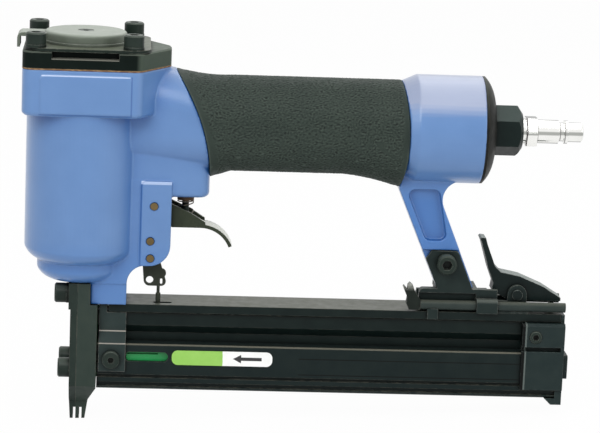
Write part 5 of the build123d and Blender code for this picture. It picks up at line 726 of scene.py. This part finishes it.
def softbox(name, place, size, radiance, aim):
    """An area lamp that faces a point."""
    lamp = bpy.data.lights.new(name, "AREA")
    lamp.shape = "RECTANGLE"
    lamp.size, lamp.size_y = size
    lamp.energy = radiance * size[0] * size[1] * math.pi
    holder = bpy.data.objects.new(name, lamp)
    scene.collection.objects.link(holder)
    holder.location = place
    holder.rotation_euler = (Vector(aim) - Vector(place)).to_track_quat("-Z", "Y").to_euler()


def photo_camera():
    """The photograph's view: turned and tilted about the target, rolled, and shifted a little."""
    camera = bpy.data.objects.new("camera", bpy.data.cameras.new("camera"))
    scene.collection.objects.link(camera)
    scene.camera = camera
    camera.data.lens = CAMERA_LENS
    camera.data.sensor_width = SENSOR_WIDTH
    camera.data.clip_start = CLIP_START
    camera.data.clip_end = CLIP_END
    azimuth = math.radians(CAMERA_AZIMUTH)
    elevation = math.radians(CAMERA_ELEVATION)
    roll = math.radians(CAMERA_ROLL)
    level = Vector((math.cos(azimuth), math.sin(azimuth), 0))
    toward = Vector((math.sin(azimuth), -math.cos(azimuth), 0))
    back = toward * math.cos(elevation) + Vector((0, 0, math.sin(elevation)))
    upright = back.cross(level)
    right = level * math.cos(roll) + upright * math.sin(roll)
    up = upright * math.cos(roll) - level * math.sin(roll)
    stand = Matrix((right, up, back)).transposed().to_4x4()
    stand.translation = CAMERA_TARGET + back * CAMERA_DISTANCE + right * SIDE_STEP + up * UP_STEP
    camera.matrix_world = stand


# Painted and blackened nodes; the top and side colours of their coats are painted highlights
SMALL_STEEL = ("cap_screws cap_washers nose_screws nose_washer guide_screws bracket_screw bracket_nut "
               "tail_screws deflector_screw valve_stem")
# the head cap's side colour is a painted highlight on its back-facing facet
dress("head_cap", black_coat(
    "cap_black", (9, 18, 15), (14, 23, 20), wear_and_highlight=(112, 112, 104), edge=0.6, specular=0.06,
    top=(96, 105, 95), side=(68, 78, 69), marks=NOTCH_HIGHLIGHT))
dress("end_cap", black_coat(
    "end_black", (17, 19, 17), (24, 25, 22), wear_and_highlight=(96, 88, 74), edge=0.7, top=(60, 64, 58)))
dress("exhaust_deflector", black_coat(
    "deflector_grey", (92, 100, 89), (100, 108, 97), wear_and_highlight=(160, 164, 152), gloss=(0.34, 0.46), specular=0.3,
    top=(156, 164, 153), deep=0.5))
dress("exhaust_plate", black_coat(
    "sheet_black", (22, 32, 28), (29, 38, 33), wear_and_highlight=(118, 118, 108), gloss=SATIN, edge=0.8,
    top=(94, 100, 86)))
dress("leg_bracket", black_coat(
    "bracket_black", (26, 36, 35), (33, 43, 41), wear_and_highlight=(120, 122, 116), edge=0.75, top=(92, 98, 92)))
dress("lockout_lever feeler_rod", black_coat(
    "lockout_black", (42, 46, 38), (50, 53, 44), wear_and_highlight=(112, 112, 102), edge=0.6))
dress("side_rods", black_coat(
    "rod_grey", (42, 51, 49), (50, 58, 55), wear_and_highlight=(112, 104, 90), gloss=SATIN, top=(76, 80, 72)))
dress("nose_body", black_coat(
    "nose_steel", (44, 55, 50), (51, 61, 55), wear_and_highlight=(116, 112, 102), grain=0.8 * MM, gloss=CAST))
dress("nose_plate", black_coat(
    "plate_steel", (34, 44, 40), (40, 50, 45), wear_and_highlight=(116, 112, 102), grain=0.8 * MM, gloss=CAST))
dress(SMALL_STEEL, black_coat(
    "screw_black", (30, 40, 36), (38, 47, 42), wear_and_highlight=(116, 120, 112), grain=0.35 * MM, gloss=SATIN, edge=0.6,
    top=(84, 92, 85), deep=1.0))
dress("hex_reducer", black_coat(
    "hex_black", (13, 24, 23), (18, 30, 28), wear_and_highlight=(96, 104, 98), gloss=SATIN, top=(50, 64, 60)))
dress("latch_lever latch_pin", black_coat(
    "latch_black", (13, 23, 22), (19, 29, 28), wear_and_highlight=(140, 146, 140), gloss=OILED, edge=0.7,
    top=(126, 135, 131)))
# painted highlights along the guide plates' bends
dress("guide_plates", black_coat(
    "guide_black", (38, 49, 48), (46, 57, 55), wear_and_highlight=(150, 146, 138), gloss=SATIN, edge=0.6,
    marks=BEND_HIGHLIGHTS))
dress("trigger_pin lockout_pin stop_pin", black_coat(
    "pin_olive", (92, 78, 50), (106, 90, 60), wear_and_highlight=(150, 134, 100), gloss=(0.35, 0.5)))
dress("trigger_valve_bush", black_coat(
    "bush_bronze", (74, 56, 42), (86, 66, 50), wear_and_highlight=(140, 116, 84), gloss=(0.32, 0.45)))
dress("magazine_rail", black_coat(
    "rail_black", (15, 25, 24), (21, 31, 29), wear_and_highlight=(96, 96, 88), grain=0.3 * MM, gloss=OILED, edge=0.7,
    top=(90, 93, 83)))
# painted highlights along the slide's ledges and painted shade lines on its face
dress("magazine_slide", black_coat(
    "slide_black", (18, 29, 29), (24, 34, 33), wear_and_highlight=(96, 95, 84), grain=0.3 * MM, gloss=OILED, edge=0.7,
    top=(26, 34, 33), marks=LEDGE_HIGHLIGHTS, shade_lines=SLIDE_LINES))
# painted highlight on the end cover's front lip and painted shadow beside it
dress("slide_end_cover", black_coat(
    "cover_black", (28, 40, 40), (36, 47, 46), wear_and_highlight=(88, 96, 93), gloss=(0.34, 0.46), edge=0.7,
    marks=LIP_HIGHLIGHT, shade_lines=COVER_SHADOW))
dress("rod_hook", hook_steel())
dress("trigger", trigger_olive())

# Bright metal, rubber, plastic and the label
dress("driver_blade driver_pin pusher_rod", drawn_metal(
    "zinc_steel", (176, 174, 166), (206, 204, 196), gloss=(0.26, 0.42), grain=0.3 * MM,
    stretch=(12, 12, 1)))
dress("air_plug", plug_nickel())
dress("cylinder_sleeve piston", drawn_metal(
    "turned_alloy", (190, 192, 194), (214, 215, 216), gloss=(0.25, 0.4), grain=0.25 * MM,
    stretch=TURNED_ABOUT_Z))
dress("air_filter", drawn_metal(
    "turned_brass", (190, 158, 92), (214, 184, 120), gloss=(0.2, 0.36), grain=0.25 * MM,
    stretch=TURNED_ABOUT_Z))
dress("end_cap_seal head_valve_seal piston_ring sleeve_seals valve_seal", soft_solid(
    "seal_rubber", (38, 38, 38), (46, 46, 45), grain=0.3 * MM, gloss=(0.5, 0.65)))
dress("bumper", soft_solid(
    "amber_urethane", (176, 134, 66), (196, 156, 88), grain=0.5 * MM, gloss=(0.35, 0.5)))
dress("head_valve", soft_solid(
    "white_acetal", (218, 216, 206), (228, 226, 218), grain=0.4 * MM, gloss=(0.35, 0.5)))
dress("pusher", soft_solid(
    "flag_green", (20, 132, 66), (30, 146, 76), grain=0.5 * MM, gloss=(0.28, 0.4)))
dress("cap_gasket", fibre_gasket())
dress("reload_label", printed_label())

# Pieces that stand for CAD nodes
casting = even_skin("body_casting", CASTING_VOXEL, CASTING_ROUNDS)
piece_from("casting_skin", casting, blue_enamel(), "frame", "body_casting")
piece_from("grip_cover", grip_mesh(), grip_rubber(), "frame", "grip_sleeve")
wire_steel = drawn_metal(
    "spring_wire", (92, 86, 78), (118, 110, 100), gloss=(0.25, 0.4), grain=0.2 * MM, stretch=(1, 1, 6))
for node, body, axis, wire, turns, joint, keep in SPRINGS:
    mesh = spring_mesh(node, axis, wire * MM, turns)
    coil = piece_from(node + "_coil", mesh, wire_steel, body, node)
    if joint:
        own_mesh(coil)

# Floor, light and camera
pale_floor()
studio_world()
for lamp in LAMPS:
    softbox(*lamp)
photo_camera()
scene.view_settings.view_transform = "Standard"
